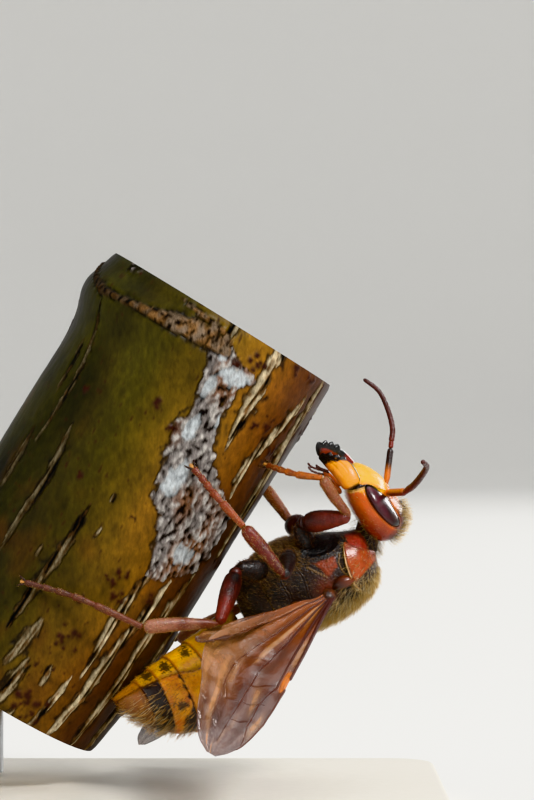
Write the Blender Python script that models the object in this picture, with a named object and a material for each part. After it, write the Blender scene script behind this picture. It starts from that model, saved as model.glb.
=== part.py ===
# European hornet, a queen, as a life-size museum model: she holds on to a short cut
# length of woody stem, which two rods carry over a flat base.
#
# World axes: +Z up, the stem leans towards +X, her left side faces -Y. The origin is
# the middle of the base's underside. Sizes are in millimetres and become metres when
# a mesh is written.

import math

import bmesh
import bpy
from mathutils import Matrix, Vector

MM = 0.001
GAP = 0.3                        # between neighbouring solids

# Stand
BASE_SIDE = 48.0
BASE_THICKNESS = 3.0
BASE_CORNER_RADIUS = 4.0
BASE_CORNER_STEPS = 5
ROD_RADIUS = 1.5
ROD_SIDES = 20
ROD_X = -15.0
ROD_SPREAD = 5.0                 # from the stem's own plane

# Stem kept as her perch
STEM_RADIUS = 10.6
STEM_LENGTH = 36.7
STEM_LEAN = math.radians(31.7)   # from upright, towards +X
STEM_FOOT = Vector((-13.86, 3.5, 10.71))    # middle of the lower cut
STEM_SIDES = 36
STEM_RINGS = 17
STEM_FOOT_BEND = 0.9             # how far the lowest stretch bends away from the hornet
STEM_BEND_START = 11.0
SCAR_ALONG = 33.3                # the leaf scar that rings the stem near its upper end
SCAR_HEIGHT = 1.1
SCAR_WIDTH = 2.4
SCAR_AROUND = math.radians(-70.0)

# Thorax: its long axis climbs 24 degrees, with her back turned down
THORAX_CENTRE = Vector((12.67, 0.0, 20.58))
THORAX_CLIMB = math.radians(24.0)
THORAX_SIDES = 28
THORAX_POWER = 2.3
THORAX_STEP = 0.6                # distance between its rings
# along the axis, ventral edge, dorsal edge, half width
THORAX_SHAPE = (
    (-6.5, -0.8, 1.4, 1.1),
    (-5.4, -2.4, 2.6, 2.4),
    (-4.0, -3.3, 3.4, 3.2),
    (-2.0, -3.8, 3.9, 3.6),
    (0.0, -3.6, 4.0, 3.85),
    (2.0, -3.0, 3.8, 3.8),
    (4.0, -2.2, 3.0, 3.4),
    (5.0, -1.9, 2.0, 2.6),
    (5.6, -1.5, 0.7, 1.3),
)
TEGULA_HALF = Vector((0.95, 0.45, 0.65))    # along, up, sideways
TEGULA_PLACE = (2.15, 1.35)                # along and up the thorax
TEGULA_SUNK = 0.25                         # its middle lies this deep in the side
TEGULA_SEGMENTS = (12, 8)
PROPODEUM_FRONT = -4.1
PRONOTUM_REAR = 3.3

# Head: the face turned 26 degrees down from her axis, and a little to the viewer
HEAD_TIP = Vector((16.25, 0.0, 30.08))     # lower edge of the clypeus, on the midline
HEAD_TOP_DROP = math.radians(40.3)         # the crown points this far below level
HEAD_YAW = math.radians(7.0)
HEAD_ROLL = math.radians(7.0)
HEAD_PIVOT = 4.6                           # height on the head that the turns leave in place
HEAD_SIDES = 32
HEAD_POWER = 2.4
# height above the clypeus edge, back edge, front edge, half width
HEAD_SHAPE = (
    (0.0, -0.60, 0.05, 1.15),
    (0.6, -0.75, 0.42, 1.50),
    (1.3, -0.90, 0.66, 1.55),
    (1.7, -2.70, 0.74, 2.90),
    (2.6, -3.20, 0.70, 3.30),
    (3.8, -3.75, 0.34, 3.50),
    (4.8, -3.90, 0.04, 3.50),
    (5.7, -3.75, -0.25, 3.20),
    (6.3, -3.40, -0.80, 2.55),
    (6.65, -2.90, -1.50, 1.40),
)
HEAD_RINGS = (0.0, 0.35, 0.8, 1.3, 1.7, 2.1, 2.7, 3.4, 4.1, 4.8, 5.4, 5.9, 6.3, 6.65)

EYE_HEIGHT = 4.15                # of its middle, above the clypeus edge
EYE_BACK = 1.25                  # of its middle, behind the front of the face
EYE_SIDE = 2.75
EYE_HALF = Vector((1.05, 0.98, 2.0))   # outwards, along the head, up the head
EYE_LEAN = math.radians(9.0)
EYE_SEGMENTS = (18, 12)

OCELLUS_RADIUS = 0.2
OCELLUS_SUNK = 0.05
OCELLI = ((0.0, 5.25), (0.42, 5.75), (-0.42, 5.75))    # sideways, up the head

MANDIBLE_ROOT = Vector((2.36, -1.75, 1.4))   # sideways, ahead, up the head
MANDIBLE_TIP = Vector((0.50, -1.45, -1.75))
MANDIBLE_ROOT_HALF = (0.48, 0.80)
MANDIBLE_TIP_HALF = (0.24, 0.62)
MANDIBLE_BOW = 0.35              # outwards, halfway along
MANDIBLE_SIDES = 12
MANDIBLE_STEPS = 6
TOOTH_COUNT = 4
TOOTH_RADIUS = 0.19
TOOTH_LENGTH = 0.42              # of the first, each next one is shorter by the share
TOOTH_SHRINK = 0.12
TOOTH_LEAN = 0.05                # inwards
TOOTH_ROOT = 0.2                 # depth in the mandible
TOOTH_SPREAD = 0.9               # share of the blade's width that the row takes

SOCKET_SIDE = 0.95
SOCKET_HEIGHT = 3.55
SCAPE_RADIUS = 0.31
SCAPE_SHAPE = ((0.0, 0.8), (0.3, 1.0), (0.7, 1.0), (1.0, 0.9))    # share, width
FLAGELLUM_RADIUS = 0.29
FLAGELLUM_TIP_RADIUS = 0.2
FLAGELLUM_STEPS = 3              # between each two of its points
# end of the scape and the points that the flagellum runs through
ANTENNAE = {
    "left": ((20.40, -4.9, 27.63), (21.07, -6.4, 28.23), (21.66, -8.0, 29.08),
             (21.95, -9.7, 29.80), (21.55, -11.5, 30.25)),
    "right": ((19.45, 1.7, 31.15), (19.62, 2.2, 32.75), (19.25, 2.6, 34.35),
              (18.50, 2.9, 35.90), (17.20, 3.1, 36.95)),
}

# Gaster: six rings behind a narrow waist
GASTER_ROOT = Vector((6.17, 0.0, 17.41))
GASTER_DROP = math.radians(34.5)           # its ventral line falls this far below level
GASTER_YAW = math.radians(15.0)            # its tip swings past the stem, to her left
GASTER_STRETCH = 1.035                     # true length over the length seen from her left
GASTER_SIDES = 30
GASTER_POWER = 2.15
# along, ventral edge, dorsal edge, half width, slant of the section
GASTER_SHAPE = (
    (0.0, -0.35, 0.75, 0.55, 0.00),
    (0.7, -0.50, 1.60, 1.15, 0.00),
    (1.4, -0.55, 3.80, 2.60, 0.00),
    (2.4, -0.45, 5.50, 3.60, 0.02),
    (4.2, -0.35, 6.45, 4.05, 0.08),
    (6.2, -0.30, 6.60, 4.15, 0.14),
    (7.8, -0.30, 6.00, 3.90, 0.18),
    (9.4, -0.20, 4.85, 3.25, 0.18),
    (10.6, -0.05, 3.55, 2.40, 0.14),
    (11.4, 0.05, 2.15, 1.45, 0.06),
    (11.95, 0.20, 0.75, 0.40, 0.00),
)
SEGMENT_ENDS = (0.0, 2.3, 4.4, 6.5, 8.3, 9.8, 11.95)
SEGMENT_STEP = 0.55              # distance between the rings of a segment

# Wings: the bases sit on the side of the thorax, the rest comes from these directions
WING_THICKNESS = 0.5
FOREWING_LENGTH = 23.0
HINDWING_LENGTH = 15.0
FOREWING_BASE = (0.9, 1.9)       # along and up the thorax
HINDWING_BASE = (-2.0, 1.7)
WING_SPAN = {"left": Vector((-0.392, -0.767, -0.504)), "right": Vector((-0.655, 0.47, -0.59))}
WING_CHORD = {"left": Vector((-0.886, 0.167, 0.433)), "right": Vector((-0.641, -0.763, 0.087))}
# the hindwing's span as shares of the forewing's span, chord and face
HINDWING_SPAN_MIX = {"left": (0.935, 0.27, -0.23), "right": (0.955, 0.25, -0.10)}
HINDWING_TWIST = {"left": math.radians(38.0), "right": math.radians(45.0)}
# share of the length, leading edge, trailing edge
FOREWING_OUTLINE = (
    (0.00, -0.35, 0.35),
    (0.06, -0.45, 0.55),
    (0.16, -0.65, 1.35),
    (0.36, -1.05, 3.00),
    (0.60, -1.45, 4.45),
    (0.68, -1.55, 4.35),
    (0.80, -1.45, 3.50),
    (0.90, -1.10, 2.50),
    (0.97, -0.50, 1.50),
    (1.00, 0.10, 0.80),
)
HINDWING_OUTLINE = (
    (0.00, -0.30, 0.35),
    (0.08, -0.30, 1.20),
    (0.25, -0.35, 2.90),
    (0.50, -0.55, 4.10),
    (0.72, -0.65, 4.00),
    (0.88, -0.35, 3.00),
    (0.96, 0.25, 2.10),
    (1.00, 0.85, 1.45),
)
FOREWING_CAMBER = 0.9
HINDWING_CAMBER = 0.5
WING_ROOT_SIDE = 0.96            # share of the thorax's half width, before the gap
WING_ROWS = 14
WING_ROW_CROWD = 1.25            # over 1 puts the rows closer near the tip
VEIN_HEIGHT = 0.14               # of the ridge over each face
VEIN_HALF_WIDTH = 0.16
VEIN_HALF_LIMIT = 0.055          # share of the chord
LEADING_VEIN_END = 0.9
CROSS_VEIN_CLEAR = 2.5           # vein half widths that other rows keep from a cross vein
# each vein: shares of the length with its place across the chord, then where it ends
FOREWING_VEINS = (
    (((0.0, 0.16), (0.3, 0.13), (0.6, 0.10), (1.0, 0.16)), 0.97),
    (((0.0, 0.38), (0.3, 0.33), (0.55, 0.36), (0.8, 0.47), (1.0, 0.50)), 0.90),
    (((0.0, 0.58), (0.3, 0.60), (0.55, 0.64), (0.8, 0.72), (1.0, 0.72)), 0.78),
    (((0.0, 0.80), (0.3, 0.84), (0.6, 0.90), (1.0, 0.90)), 0.56),
)
# each cross vein: its share of the length, and the veins that it joins
FOREWING_CROSS = ((0.42, 1, 2), (0.56, 0, 1), (0.68, 1, 2), (0.78, 0, 1))
HINDWING_VEINS = (
    (((0.0, 0.18), (0.4, 0.12), (1.0, 0.18)), 0.85),
    (((0.0, 0.45), (0.4, 0.42), (1.0, 0.50)), 0.80),
    (((0.0, 0.74), (0.4, 0.72), (1.0, 0.78)), 0.60),
)
HINDWING_CROSS = ((0.46, 0, 1),)

# Legs: where the coxa sits on the thorax (along, degrees round from the belly), its
# joints in the world, the toes on the stem (along, degrees round, height over bark)
LEGS = {
    "fore_left": {
        "hip": (0.7, 40.0), "trochanter": (11.7, -3.0, 24.7), "knee": (15.65, -4.9, 25.25),
        "ankle": (13.6, -5.4, 28.7), "toes": ((29.0, 56.5, 3.9), (28.6, 56.5, 2.3), (28.3, 58.5, 0.6)),
    },
    "mid_left": {
        "hip": (-1.2, 56.0), "trochanter": (10.8, -4.9, 22.4), "knee": (10.5, -9.2, 20.95),
        "ankle": (7.2, -8.9, 24.9), "toes": ((24.1, 32.0, 2.8), (24.6, 28.0, 1.5), (25.0, 23.5, 0.6)),
    },
    "hind_left": {
        "hip": (-3.2, 56.0), "trochanter": (6.6, -4.0, 21.3), "knee": (5.2, -7.9, 17.0),
        "ankle": (-0.95, -8.9, 16.8), "toes": ((11.3, 13.5, 1.6), (10.8, 3.0, 0.8), (9.9, -12.0, 0.6)),
    },
    "fore_right": {
        "hip": (0.7, -40.0), "trochanter": (11.8, 3.0, 24.5), "knee": (11.15, 7.0, 24.7),
        "ankle": (8.85, 8.9, 27.7), "toes": ((27.4, 126.0, 1.4), (27.9, 133.0, 0.8), (28.3, 141.0, 0.6)),
    },
    "mid_right": {
        "hip": (-1.2, -56.0), "trochanter": (10.75, 4.9, 22.2), "knee": (10.35, 9.0, 20.25),
        "ankle": (7.3, 11.4, 23.75), "toes": ((23.3, 135.0, 2.0), (24.1, 145.0, 0.9), (24.7, 153.0, 0.6)),
    },
    "hind_right": {
        "hip": (-3.2, -56.0), "trochanter": (6.6, 4.0, 21.0), "knee": (7.65, 8.2, 17.8),
        "ankle": (1.35, 12.4, 14.35), "toes": ((10.6, 143.0, 1.9), (10.2, 155.0, 0.9), (9.9, 164.0, 0.6)),
    },
}
# radius at the start, at the thickest point and at the end, and where the thickest is
COXA_RADII = {"fore": (0.75, 0.88, 0.50), "mid": (0.62, 0.72, 0.48), "hind": (0.75, 0.92, 0.52)}
FEMUR_RADII = {"fore": (0.62, 1.0, 0.55), "mid": (0.60, 0.78, 0.48), "hind": (0.65, 0.88, 0.52)}
TIBIA_RADII = {"fore": (0.38, 0.50, 0.50), "mid": (0.38, 0.58, 0.55), "hind": (0.38, 0.62, 0.62)}
TARSUS_RADII = (0.31, 0.26)
TARSOMERE_ENDS = (0.42, 0.60, 0.74, 0.85, 1.0)     # shares of the tarsus
TARSOMERE_WIDTHS = ((0.0, 0.78), (0.5, 0.92), (0.92, 1.1))    # share of one, width
TARSOMERE_STEP = 0.004           # share of the tarsus over which the width drops
TARSUS_STEPS = 6
CLAW_STRETCHES = (0.45, 0.375)   # rising and falling part
CLAW_RADIUS = 0.13
CLAW_SPREAD = (0.56, 0.1)        # sideways on each part, per length ahead
CLAW_RISE = 0.25
CLAW_FALL = 0.5
CLAW_ROOT = (0.15, 0.05)         # back into the tarsus, sideways
SPUR_LENGTH = {"fore": 0.9, "mid": 0.8, "hind": 0.9}
SPUR_RADIUS = 0.14
SPUR_SPREAD = 0.55               # sideways, of the two on one tibia
SPUR_DROP = 0.75
SPUR_ROOT = 0.45                 # share of the tibia's radius
SPUR_LEAN = (0.8, 0.6)           # shares of the tibia's way and of the way out
LIMB_SIDES = 8
LIMB_END = 0.35                  # width of a rounded end, against the full one
LIMB_END_LIMIT = 0.4             # longest share of a limb that a rounded end takes
SPIKE_SIDES = 5
SPIKE_TIP = 0.15                 # width of a spike's tip, against its root
FEMUR_THICKEST = 0.35
TIBIA_THICKEST = 0.7
COXA_THICKEST = 0.4
COXA_LIFT = 0.6                  # a leaning coxa stands off by this share of its root

SHARP_EDGE = math.radians(40.0)  # shading breaks at sharper edges
ROD_METALLIC = 0.6

COLOURS = {
    "shell_dark": ("1c1210", 0.35),
    "shell_red": ("8a2f12", 0.32),
    "shell_gold": ("d79a1e", 0.35),
    "eye": ("3a1d20", 0.12),
    "wing": ("8a5a22", 0.28),
    "leg": ("7c2c14", 0.35),
    "antenna": ("6e2a10", 0.40),
    "bark": ("6d5a22", 0.80),
    "stand": ("d8d2c6", 0.45),
    "rod": ("b9bcc0", 0.30),
}

for item in list(bpy.data.objects):
    bpy.data.objects.remove(item, do_unlink=True)

hornet = bpy.data.collections.new("european_hornet")
bpy.context.scene.collection.children.link(hornet)


def linear(channel):
    if channel <= 0.04045:
        return channel / 12.92
    return ((channel + 0.055) / 1.055) ** 2.4


def make_material(name):
    code, roughness = COLOURS[name]
    colour = [linear(int(code[i:i + 2], 16) / 255.0) for i in (0, 2, 4)]
    material = bpy.data.materials.new(name)
    material.use_nodes = True
    shader = material.node_tree.nodes["Principled BSDF"]
    shader.inputs["Base Color"].default_value = (*colour, 1.0)
    shader.inputs["Roughness"].default_value = roughness
    shader.inputs["Metallic"].default_value = ROD_METALLIC if name == "rod" else 0.0
    return material


materials = {name: make_material(name) for name in COLOURS}


# A form drawn in millimetres becomes an object in metres.
def add_object(name, form, material):
    form.normal_update()
    bmesh.ops.recalc_face_normals(form, faces=form.faces)
    bmesh.ops.scale(form, vec=(MM, MM, MM), verts=form.verts)
    mesh = bpy.data.meshes.new(name)
    form.to_mesh(mesh)
    form.free()
    mesh.materials.append(materials[material])
    mesh.shade_smooth()
    mesh.set_sharp_from_angle(angle=SHARP_EDGE)
    part = bpy.data.objects.new(name, mesh)
    hornet.objects.link(part)
    return part


# Pieces joined into one closed solid with the part that they grow from.
def fuse(part, forms):
    pieces = bpy.data.collections.new(part.name + "_pieces")
    bpy.context.scene.collection.children.link(pieces)
    material = part.data.materials[0]
    for number, form in enumerate(forms):
        piece = add_object(part.name + "_piece_" + str(number), form, material.name)
        hornet.objects.unlink(piece)
        pieces.objects.link(piece)
    union = part.modifiers.new("union", "BOOLEAN")
    union.operation = "UNION"
    union.operand_type = "COLLECTION"
    union.collection = pieces
    graph = bpy.context.evaluated_depsgraph_get()
    joined = bpy.data.meshes.new_from_object(part.evaluated_get(graph))
    part.modifiers.remove(union)
    part.data = joined
    for piece in list(pieces.objects):
        bpy.data.objects.remove(piece, do_unlink=True)
    bpy.data.collections.remove(pieces)
    keep_largest(joined)


# Only the largest closed surface of a mesh is kept.
def keep_largest(mesh):
    form = bmesh.new()
    form.from_mesh(mesh)
    left = set(form.verts)
    groups = []
    while left:
        group = set()
        front = [left.pop()]
        while front:
            vert = front.pop()
            group.add(vert)
            for edge in vert.link_edges:
                other = edge.other_vert(vert)
                if other in left:
                    left.remove(other)
                    front.append(other)
        groups.append(group)
    groups.sort(key=len)
    for group in groups[:-1]:
        bmesh.ops.delete(form, geom=list(group), context="VERTS")
    form.to_mesh(mesh)
    form.free()


# The row of a shape table at one place, on a smooth curve through its rows.
def sample(table, place):
    last = len(table) - 1
    if place <= table[0][0]:
        return table[0][1:]
    if place >= table[last][0]:
        return table[last][1:]
    k = max(i for i in range(last) if table[i][0] <= place)
    before = table[max(k - 1, 0)]
    start = table[k]
    end = table[k + 1]
    after = table[min(k + 2, last)]
    span = end[0] - start[0]
    t = (place - start[0]) / span
    row = []
    for i in range(1, len(start)):
        slope_in = (end[i] - before[i]) / (end[0] - before[0]) * span
        slope_out = (after[i] - start[i]) / (after[0] - start[0]) * span
        row.append((2 * t ** 3 - 3 * t ** 2 + 1) * start[i] + (t ** 3 - 2 * t ** 2 + t) * slope_in
                   + (3 * t ** 2 - 2 * t ** 3) * end[i] + (t ** 3 - t ** 2) * slope_out)
    return row


# Axes of one body part: a point, and the ways ahead, up (dorsal) and sideways (left).
class Axes:
    def __init__(self, origin, ahead, up, side):
        self.origin = origin
        self.ahead = ahead
        self.up = up
        self.side = side

    def point(self, ahead, up, side):
        return self.origin + self.ahead * ahead + self.up * up + self.side * side


LEFT = Vector((0.0, -1.0, 0.0))
thorax_axes = Axes(
    THORAX_CENTRE,
    Vector((math.cos(THORAX_CLIMB), 0.0, math.sin(THORAX_CLIMB))),
    Vector((math.sin(THORAX_CLIMB), 0.0, -math.cos(THORAX_CLIMB))),
    LEFT)


# The gaster's axes: ahead is from the waist to the tip.
def make_gaster_axes():
    level = Vector((-math.cos(GASTER_DROP), 0.0, -math.sin(GASTER_DROP)))
    up = Vector((math.sin(GASTER_DROP), 0.0, -math.cos(GASTER_DROP)))
    ahead = level * math.cos(GASTER_YAW) + LEFT * math.sin(GASTER_YAW)
    side = LEFT * math.cos(GASTER_YAW) - level * math.sin(GASTER_YAW)
    return Axes(GASTER_ROOT, ahead * GASTER_STRETCH, up, side)


gaster_axes = make_gaster_axes()


# The head's axes: ahead is out of the face, up is towards the crown.
def make_head_axes():
    up = Vector((math.cos(HEAD_TOP_DROP), 0.0, -math.sin(HEAD_TOP_DROP)))
    ahead = Vector((math.sin(HEAD_TOP_DROP), 0.0, math.cos(HEAD_TOP_DROP)))
    turn = Matrix.Rotation(HEAD_YAW, 3, up) @ Matrix.Rotation(HEAD_ROLL, 3, ahead)
    if (turn @ ahead).y > 0.0:
        turn = Matrix.Rotation(-HEAD_YAW, 3, up) @ Matrix.Rotation(HEAD_ROLL, 3, ahead)
    pivot = HEAD_TIP + up * HEAD_PIVOT - ahead * 1.8
    return Axes(pivot + turn @ (HEAD_TIP - pivot), turn @ ahead, turn @ up, turn @ LEFT)


head_axes = make_head_axes()


def signed_power(value, exponent):
    return math.copysign(abs(value) ** exponent, value)


# One rounded section across a body, between its low and high edges.
def section(axes, along, low, high, half, power, sides, slant=0.0):
    middle = (low + high) / 2.0
    rise = (high - low) / 2.0
    ring = []
    for i in range(sides):
        angle = 2.0 * math.pi * i / sides
        up = middle + rise * signed_power(math.sin(angle), 2.0 / power)
        out = half * signed_power(math.cos(angle), 2.0 / power)
        ring.append(axes.point(along + slant * (up - middle), up, out))
    return ring


# A closed solid through a row of rings with the same number of points.
def loft_form(rings):
    form = bmesh.new()
    rows = [[form.verts.new(point) for point in ring] for ring in rings]
    count = len(rows[0])
    for first, second in zip(rows, rows[1:]):
        for i in range(count):
            j = (i + 1) % count
            form.faces.new((first[i], first[j], second[j], second[i]))
    form.faces.new(rows[0])
    form.faces.new(rows[-1])
    return form


def steps_between(start, end, step):
    count = max(2, round(abs(end - start) / step))
    return [start + (end - start) * i / count for i in range(count + 1)]


# A limb's solid: round rings square to its path, as wide as the radii say.
def limb_form(path, radii, sides):
    rings = []
    side = None
    for k, point in enumerate(path):
        way = (path[min(k + 1, len(path) - 1)] - path[max(k - 1, 0)]).normalized()
        if side is None:
            side = way.orthogonal().normalized()
        side = (side - way * side.dot(way)).normalized()
        other = way.cross(side)
        ring = []
        for i in range(sides):
            angle = 2.0 * math.pi * i / sides
            ring.append(point + (side * math.cos(angle) + other * math.sin(angle)) * radii[k])
        rings.append(ring)
    return loft_form(rings)


# Rings for a limb that runs along a path, swells from its start to its thickest point
# and thins again, with both ends rounded over.
def taper(path, radii, thickest):
    root, belly, tip = radii
    reach = [0.0]
    for first, second in zip(path, path[1:]):
        reach.append(reach[-1] + (second - first).length)
    length = reach[-1]
    table = ((0.0, root), (thickest, belly), (1.0, tip))
    start = min(root / length, LIMB_END_LIMIT)
    end = min(tip / length, LIMB_END_LIMIT)
    places = [0.0, start / 4.0, start, 1.0 - end, 1.0 - end / 4.0, 1.0]
    places += [start + (1.0 - start - end) * share for share in (0.25, 0.5, 0.75)]
    places.sort()
    points = []
    sizes = []
    for place in places:
        k = min(max(i for i in range(len(reach)) if reach[i] <= place * length + 1e-9), len(path) - 2)
        along = (place * length - reach[k]) / (reach[k + 1] - reach[k])
        points.append(path[k].lerp(path[k + 1], along))
        near = min(place / start, (1.0 - place) / end, 1.0)
        rounding = LIMB_END + (1.0 - LIMB_END) * math.sqrt(1.0 - (1.0 - near) ** 2)
        sizes.append(sample(table, place)[0] * rounding)
    return points, sizes


# How far short of a bent joint two rounded ends stop, so that they keep the gap.
def joint_room(way_in, way_out, radius_in, radius_out):
    bend = way_in.angle(way_out)
    middle = (radius_in + radius_out + GAP) / (2.0 * math.cos(bend / 2.0))
    return middle - radius_in, middle - radius_out


# A smooth curve through a few points, with its points evenly shared out.
def smooth_path(points, per_span):
    table = [(float(i), *point) for i, point in enumerate(points)]
    total = (len(points) - 1) * per_span
    return [Vector(sample(table, i / per_span)) for i in range(total + 1)]


# Direction and centre line of the stem, and a point on or over its bark.
stem_way = Vector((math.sin(STEM_LEAN), 0.0, math.cos(STEM_LEAN)))
stem_below = Vector((math.cos(STEM_LEAN), 0.0, -math.sin(STEM_LEAN)))


def stem_radius(along, around):
    turn = math.cos((around - SCAR_AROUND) / 2.0) ** 2
    return STEM_RADIUS + SCAR_HEIGHT * turn * math.exp(-((along - SCAR_ALONG) / SCAR_WIDTH) ** 2)


def stem_point(along, around, height=0.0):
    out = LEFT * math.cos(around) + stem_below * math.sin(around)
    bend = STEM_FOOT_BEND * max(0.0, 1.0 - along / STEM_BEND_START) ** 2
    centre = STEM_FOOT + stem_way * along - stem_below * bend
    return centre + out * (stem_radius(along, around) + height)


def build_stand():
    form = bmesh.new()
    bmesh.ops.create_cube(form, size=1.0)
    bmesh.ops.scale(form, vec=(BASE_SIDE, BASE_SIDE, BASE_THICKNESS), verts=form.verts)
    bmesh.ops.translate(form, vec=(0.0, 0.0, BASE_THICKNESS / 2.0), verts=form.verts)
    upright = [edge for edge in form.edges
               if abs(edge.verts[0].co.z - edge.verts[1].co.z) > BASE_THICKNESS / 2.0]
    bmesh.ops.bevel(form, geom=upright, offset=BASE_CORNER_RADIUS, segments=BASE_CORNER_STEPS,
                    profile=0.5, affect="EDGES", material=-1)
    add_object("stand_base", form, "stand")
    for name, y in (("stand_rod_left", -ROD_SPREAD), ("stand_rod_right", ROD_SPREAD)):
        form = bmesh.new()
        bmesh.ops.create_cone(form, cap_ends=True, segments=ROD_SIDES, radius1=ROD_RADIUS,
                              radius2=ROD_RADIUS, depth=1.0)
        for vert in form.verts:
            x = vert.co.x + ROD_X
            foot = BASE_THICKNESS + GAP
            face = STEM_FOOT.z - math.tan(STEM_LEAN) * (x - STEM_FOOT.x)
            top = face - GAP / math.cos(STEM_LEAN)
            vert.co = Vector((x, vert.co.y + STEM_FOOT.y + y, top if vert.co.z > 0.0 else foot))
        add_object(name, form, "rod")


def build_stem():
    rings = []
    for k in range(STEM_RINGS + 1):
        along = STEM_LENGTH * k / STEM_RINGS
        rings.append([stem_point(along, 2.0 * math.pi * i / STEM_SIDES) for i in range(STEM_SIDES)])
    add_object("perch_stem", loft_form(rings), "bark")


def thorax_half(along):
    return sample(THORAX_SHAPE, along)[2]


def thorax_section(along):
    low, high, half = sample(THORAX_SHAPE, along)
    return section(thorax_axes, along, low, high, half, THORAX_POWER, THORAX_SIDES)


# A point on the thorax, at an angle round from the belly towards her left, and the
# way out of it.
def thorax_point(along, degrees, height):
    low, high, half = sample(THORAX_SHAPE, along)
    angle = math.radians(degrees - 90.0)
    middle = (low + high) / 2.0
    rise = (high - low) / 2.0
    up = signed_power(math.sin(angle), 2.0 / THORAX_POWER)
    out = signed_power(math.cos(angle), 2.0 / THORAX_POWER)
    way_up = signed_power(up, THORAX_POWER - 1.0) / rise
    way_out = signed_power(out, THORAX_POWER - 1.0) / half
    way = (thorax_axes.up * way_up + thorax_axes.side * way_out).normalized()
    return thorax_axes.point(along, middle + rise * up, half * out) + way * height, way


# The small domed plate in front of each forewing's root.
def tegula_form(hand):
    form = bmesh.new()
    bmesh.ops.create_uvsphere(form, u_segments=TEGULA_SEGMENTS[0], v_segments=TEGULA_SEGMENTS[1],
                              radius=1.0)
    middle = thorax_half(TEGULA_PLACE[0]) - TEGULA_SUNK
    for vert in form.verts:
        vert.co = thorax_axes.point(TEGULA_PLACE[0] + vert.co.x * TEGULA_HALF.x,
                                    TEGULA_PLACE[1] + vert.co.z * TEGULA_HALF.y,
                                    hand * (middle + vert.co.y * TEGULA_HALF.z))
    return form


def build_thorax():
    first = THORAX_SHAPE[0][0]
    last = THORAX_SHAPE[-1][0]
    spans = (
        ("propodeum", first, PROPODEUM_FRONT - GAP / 2.0, "shell_dark"),
        ("thorax", PROPODEUM_FRONT + GAP / 2.0, PRONOTUM_REAR - GAP / 2.0, "shell_dark"),
        ("pronotum", PRONOTUM_REAR + GAP / 2.0, last, "shell_red"),
    )
    for name, start, end, material in spans:
        rings = [thorax_section(along) for along in steps_between(start, end, THORAX_STEP)]
        part = add_object(name, loft_form(rings), material)
        if name == "thorax":
            fuse(part, [tegula_form(1.0), tegula_form(-1.0)])


def head_section(height):
    back, front, half = sample(HEAD_SHAPE, height)
    lying = Axes(head_axes.origin, head_axes.up, head_axes.ahead, head_axes.side)
    return section(lying, height, back, front, half, HEAD_POWER, HEAD_SIDES)


# A point given sideways, ahead and up the head, on her left or right hand.
def head_place(place, hand):
    side, ahead, up = place
    return head_axes.point(ahead, up, side * hand)


# An egg-shaped eye, or the larger hollow that it sits in.
def eye_form(hand, grow):
    form = bmesh.new()
    bmesh.ops.create_uvsphere(form, u_segments=EYE_SEGMENTS[0], v_segments=EYE_SEGMENTS[1], radius=1.0)
    turn = Matrix.Rotation(EYE_LEAN, 3, "X")
    half = EYE_HALF + Vector((grow, grow, grow))
    for vert in form.verts:
        out, ahead, up = turn @ Vector((vert.co.x * half.x, vert.co.y * half.y, vert.co.z * half.z))
        vert.co = head_axes.point(ahead - EYE_BACK, EYE_HEIGHT + up, hand * (EYE_SIDE + out))
    return form


def build_head(cutters):
    rings = [head_section(height) for height in HEAD_RINGS]
    head = add_object("head", loft_form(rings), "shell_gold")
    ocelli = []
    for side, height in OCELLI:
        front = sample(HEAD_SHAPE, height)[1]
        centre = head_place((side, front - OCELLUS_SUNK, height), 1.0)
        form = bmesh.new()
        bmesh.ops.create_icosphere(form, subdivisions=1, radius=OCELLUS_RADIUS)
        bmesh.ops.translate(form, vec=centre, verts=form.verts)
        ocelli.append(form)
    fuse(head, ocelli)
    for hand_name, hand in (("left", 1.0), ("right", -1.0)):
        add_object("eye_" + hand_name, eye_form(hand, 0.0), "eye")
        hollow = add_object("eye_hollow_" + hand_name, eye_form(hand, GAP), "eye")
        hornet.objects.unlink(hollow)
        cutters.objects.link(hollow)
        hollow.hide_render = True
        hollow.display_type = "WIRE"
        cut = head.modifiers.new("hollow_" + hand_name, "BOOLEAN")
        cut.operation = "DIFFERENCE"
        cut.object = hollow


def build_mandibles():
    for name, hand in (("mandible_left", 1.0), ("mandible_right", -1.0)):
        rings = []
        for k in range(MANDIBLE_STEPS + 1):
            t = k / MANDIBLE_STEPS
            place = MANDIBLE_ROOT.lerp(MANDIBLE_TIP, t)
            place.x = place.x + MANDIBLE_BOW * math.sin(math.pi * t)
            out = MANDIBLE_ROOT_HALF[0] + (MANDIBLE_TIP_HALF[0] - MANDIBLE_ROOT_HALF[0]) * t
            deep = MANDIBLE_ROOT_HALF[1] + (MANDIBLE_TIP_HALF[1] - MANDIBLE_ROOT_HALF[1]) * t
            centre = head_place(place, hand)
            ring = []
            for i in range(MANDIBLE_SIDES):
                angle = 2.0 * math.pi * i / MANDIBLE_SIDES
                ring.append(centre + head_axes.side * out * math.cos(angle)
                            + head_axes.ahead * deep * math.sin(angle))
            rings.append(ring)
        mandible = add_object(name, loft_form(rings), "shell_gold")
        teeth = []
        for k in range(TOOTH_COUNT):
            place = MANDIBLE_TIP.copy()
            across = 2.0 * (k + 0.5) / TOOTH_COUNT - 1.0
            place.y = place.y + MANDIBLE_TIP_HALF[1] * TOOTH_SPREAD * across
            root = place + Vector((0.0, 0.0, TOOTH_ROOT))
            tip = place - Vector((TOOTH_LEAN, 0.0, TOOTH_LENGTH * (1.0 - TOOTH_SHRINK * k)))
            teeth.append(spike_form([head_place(root, hand), head_place(tip, hand)], TOOTH_RADIUS))
        fuse(mandible, teeth)


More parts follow.
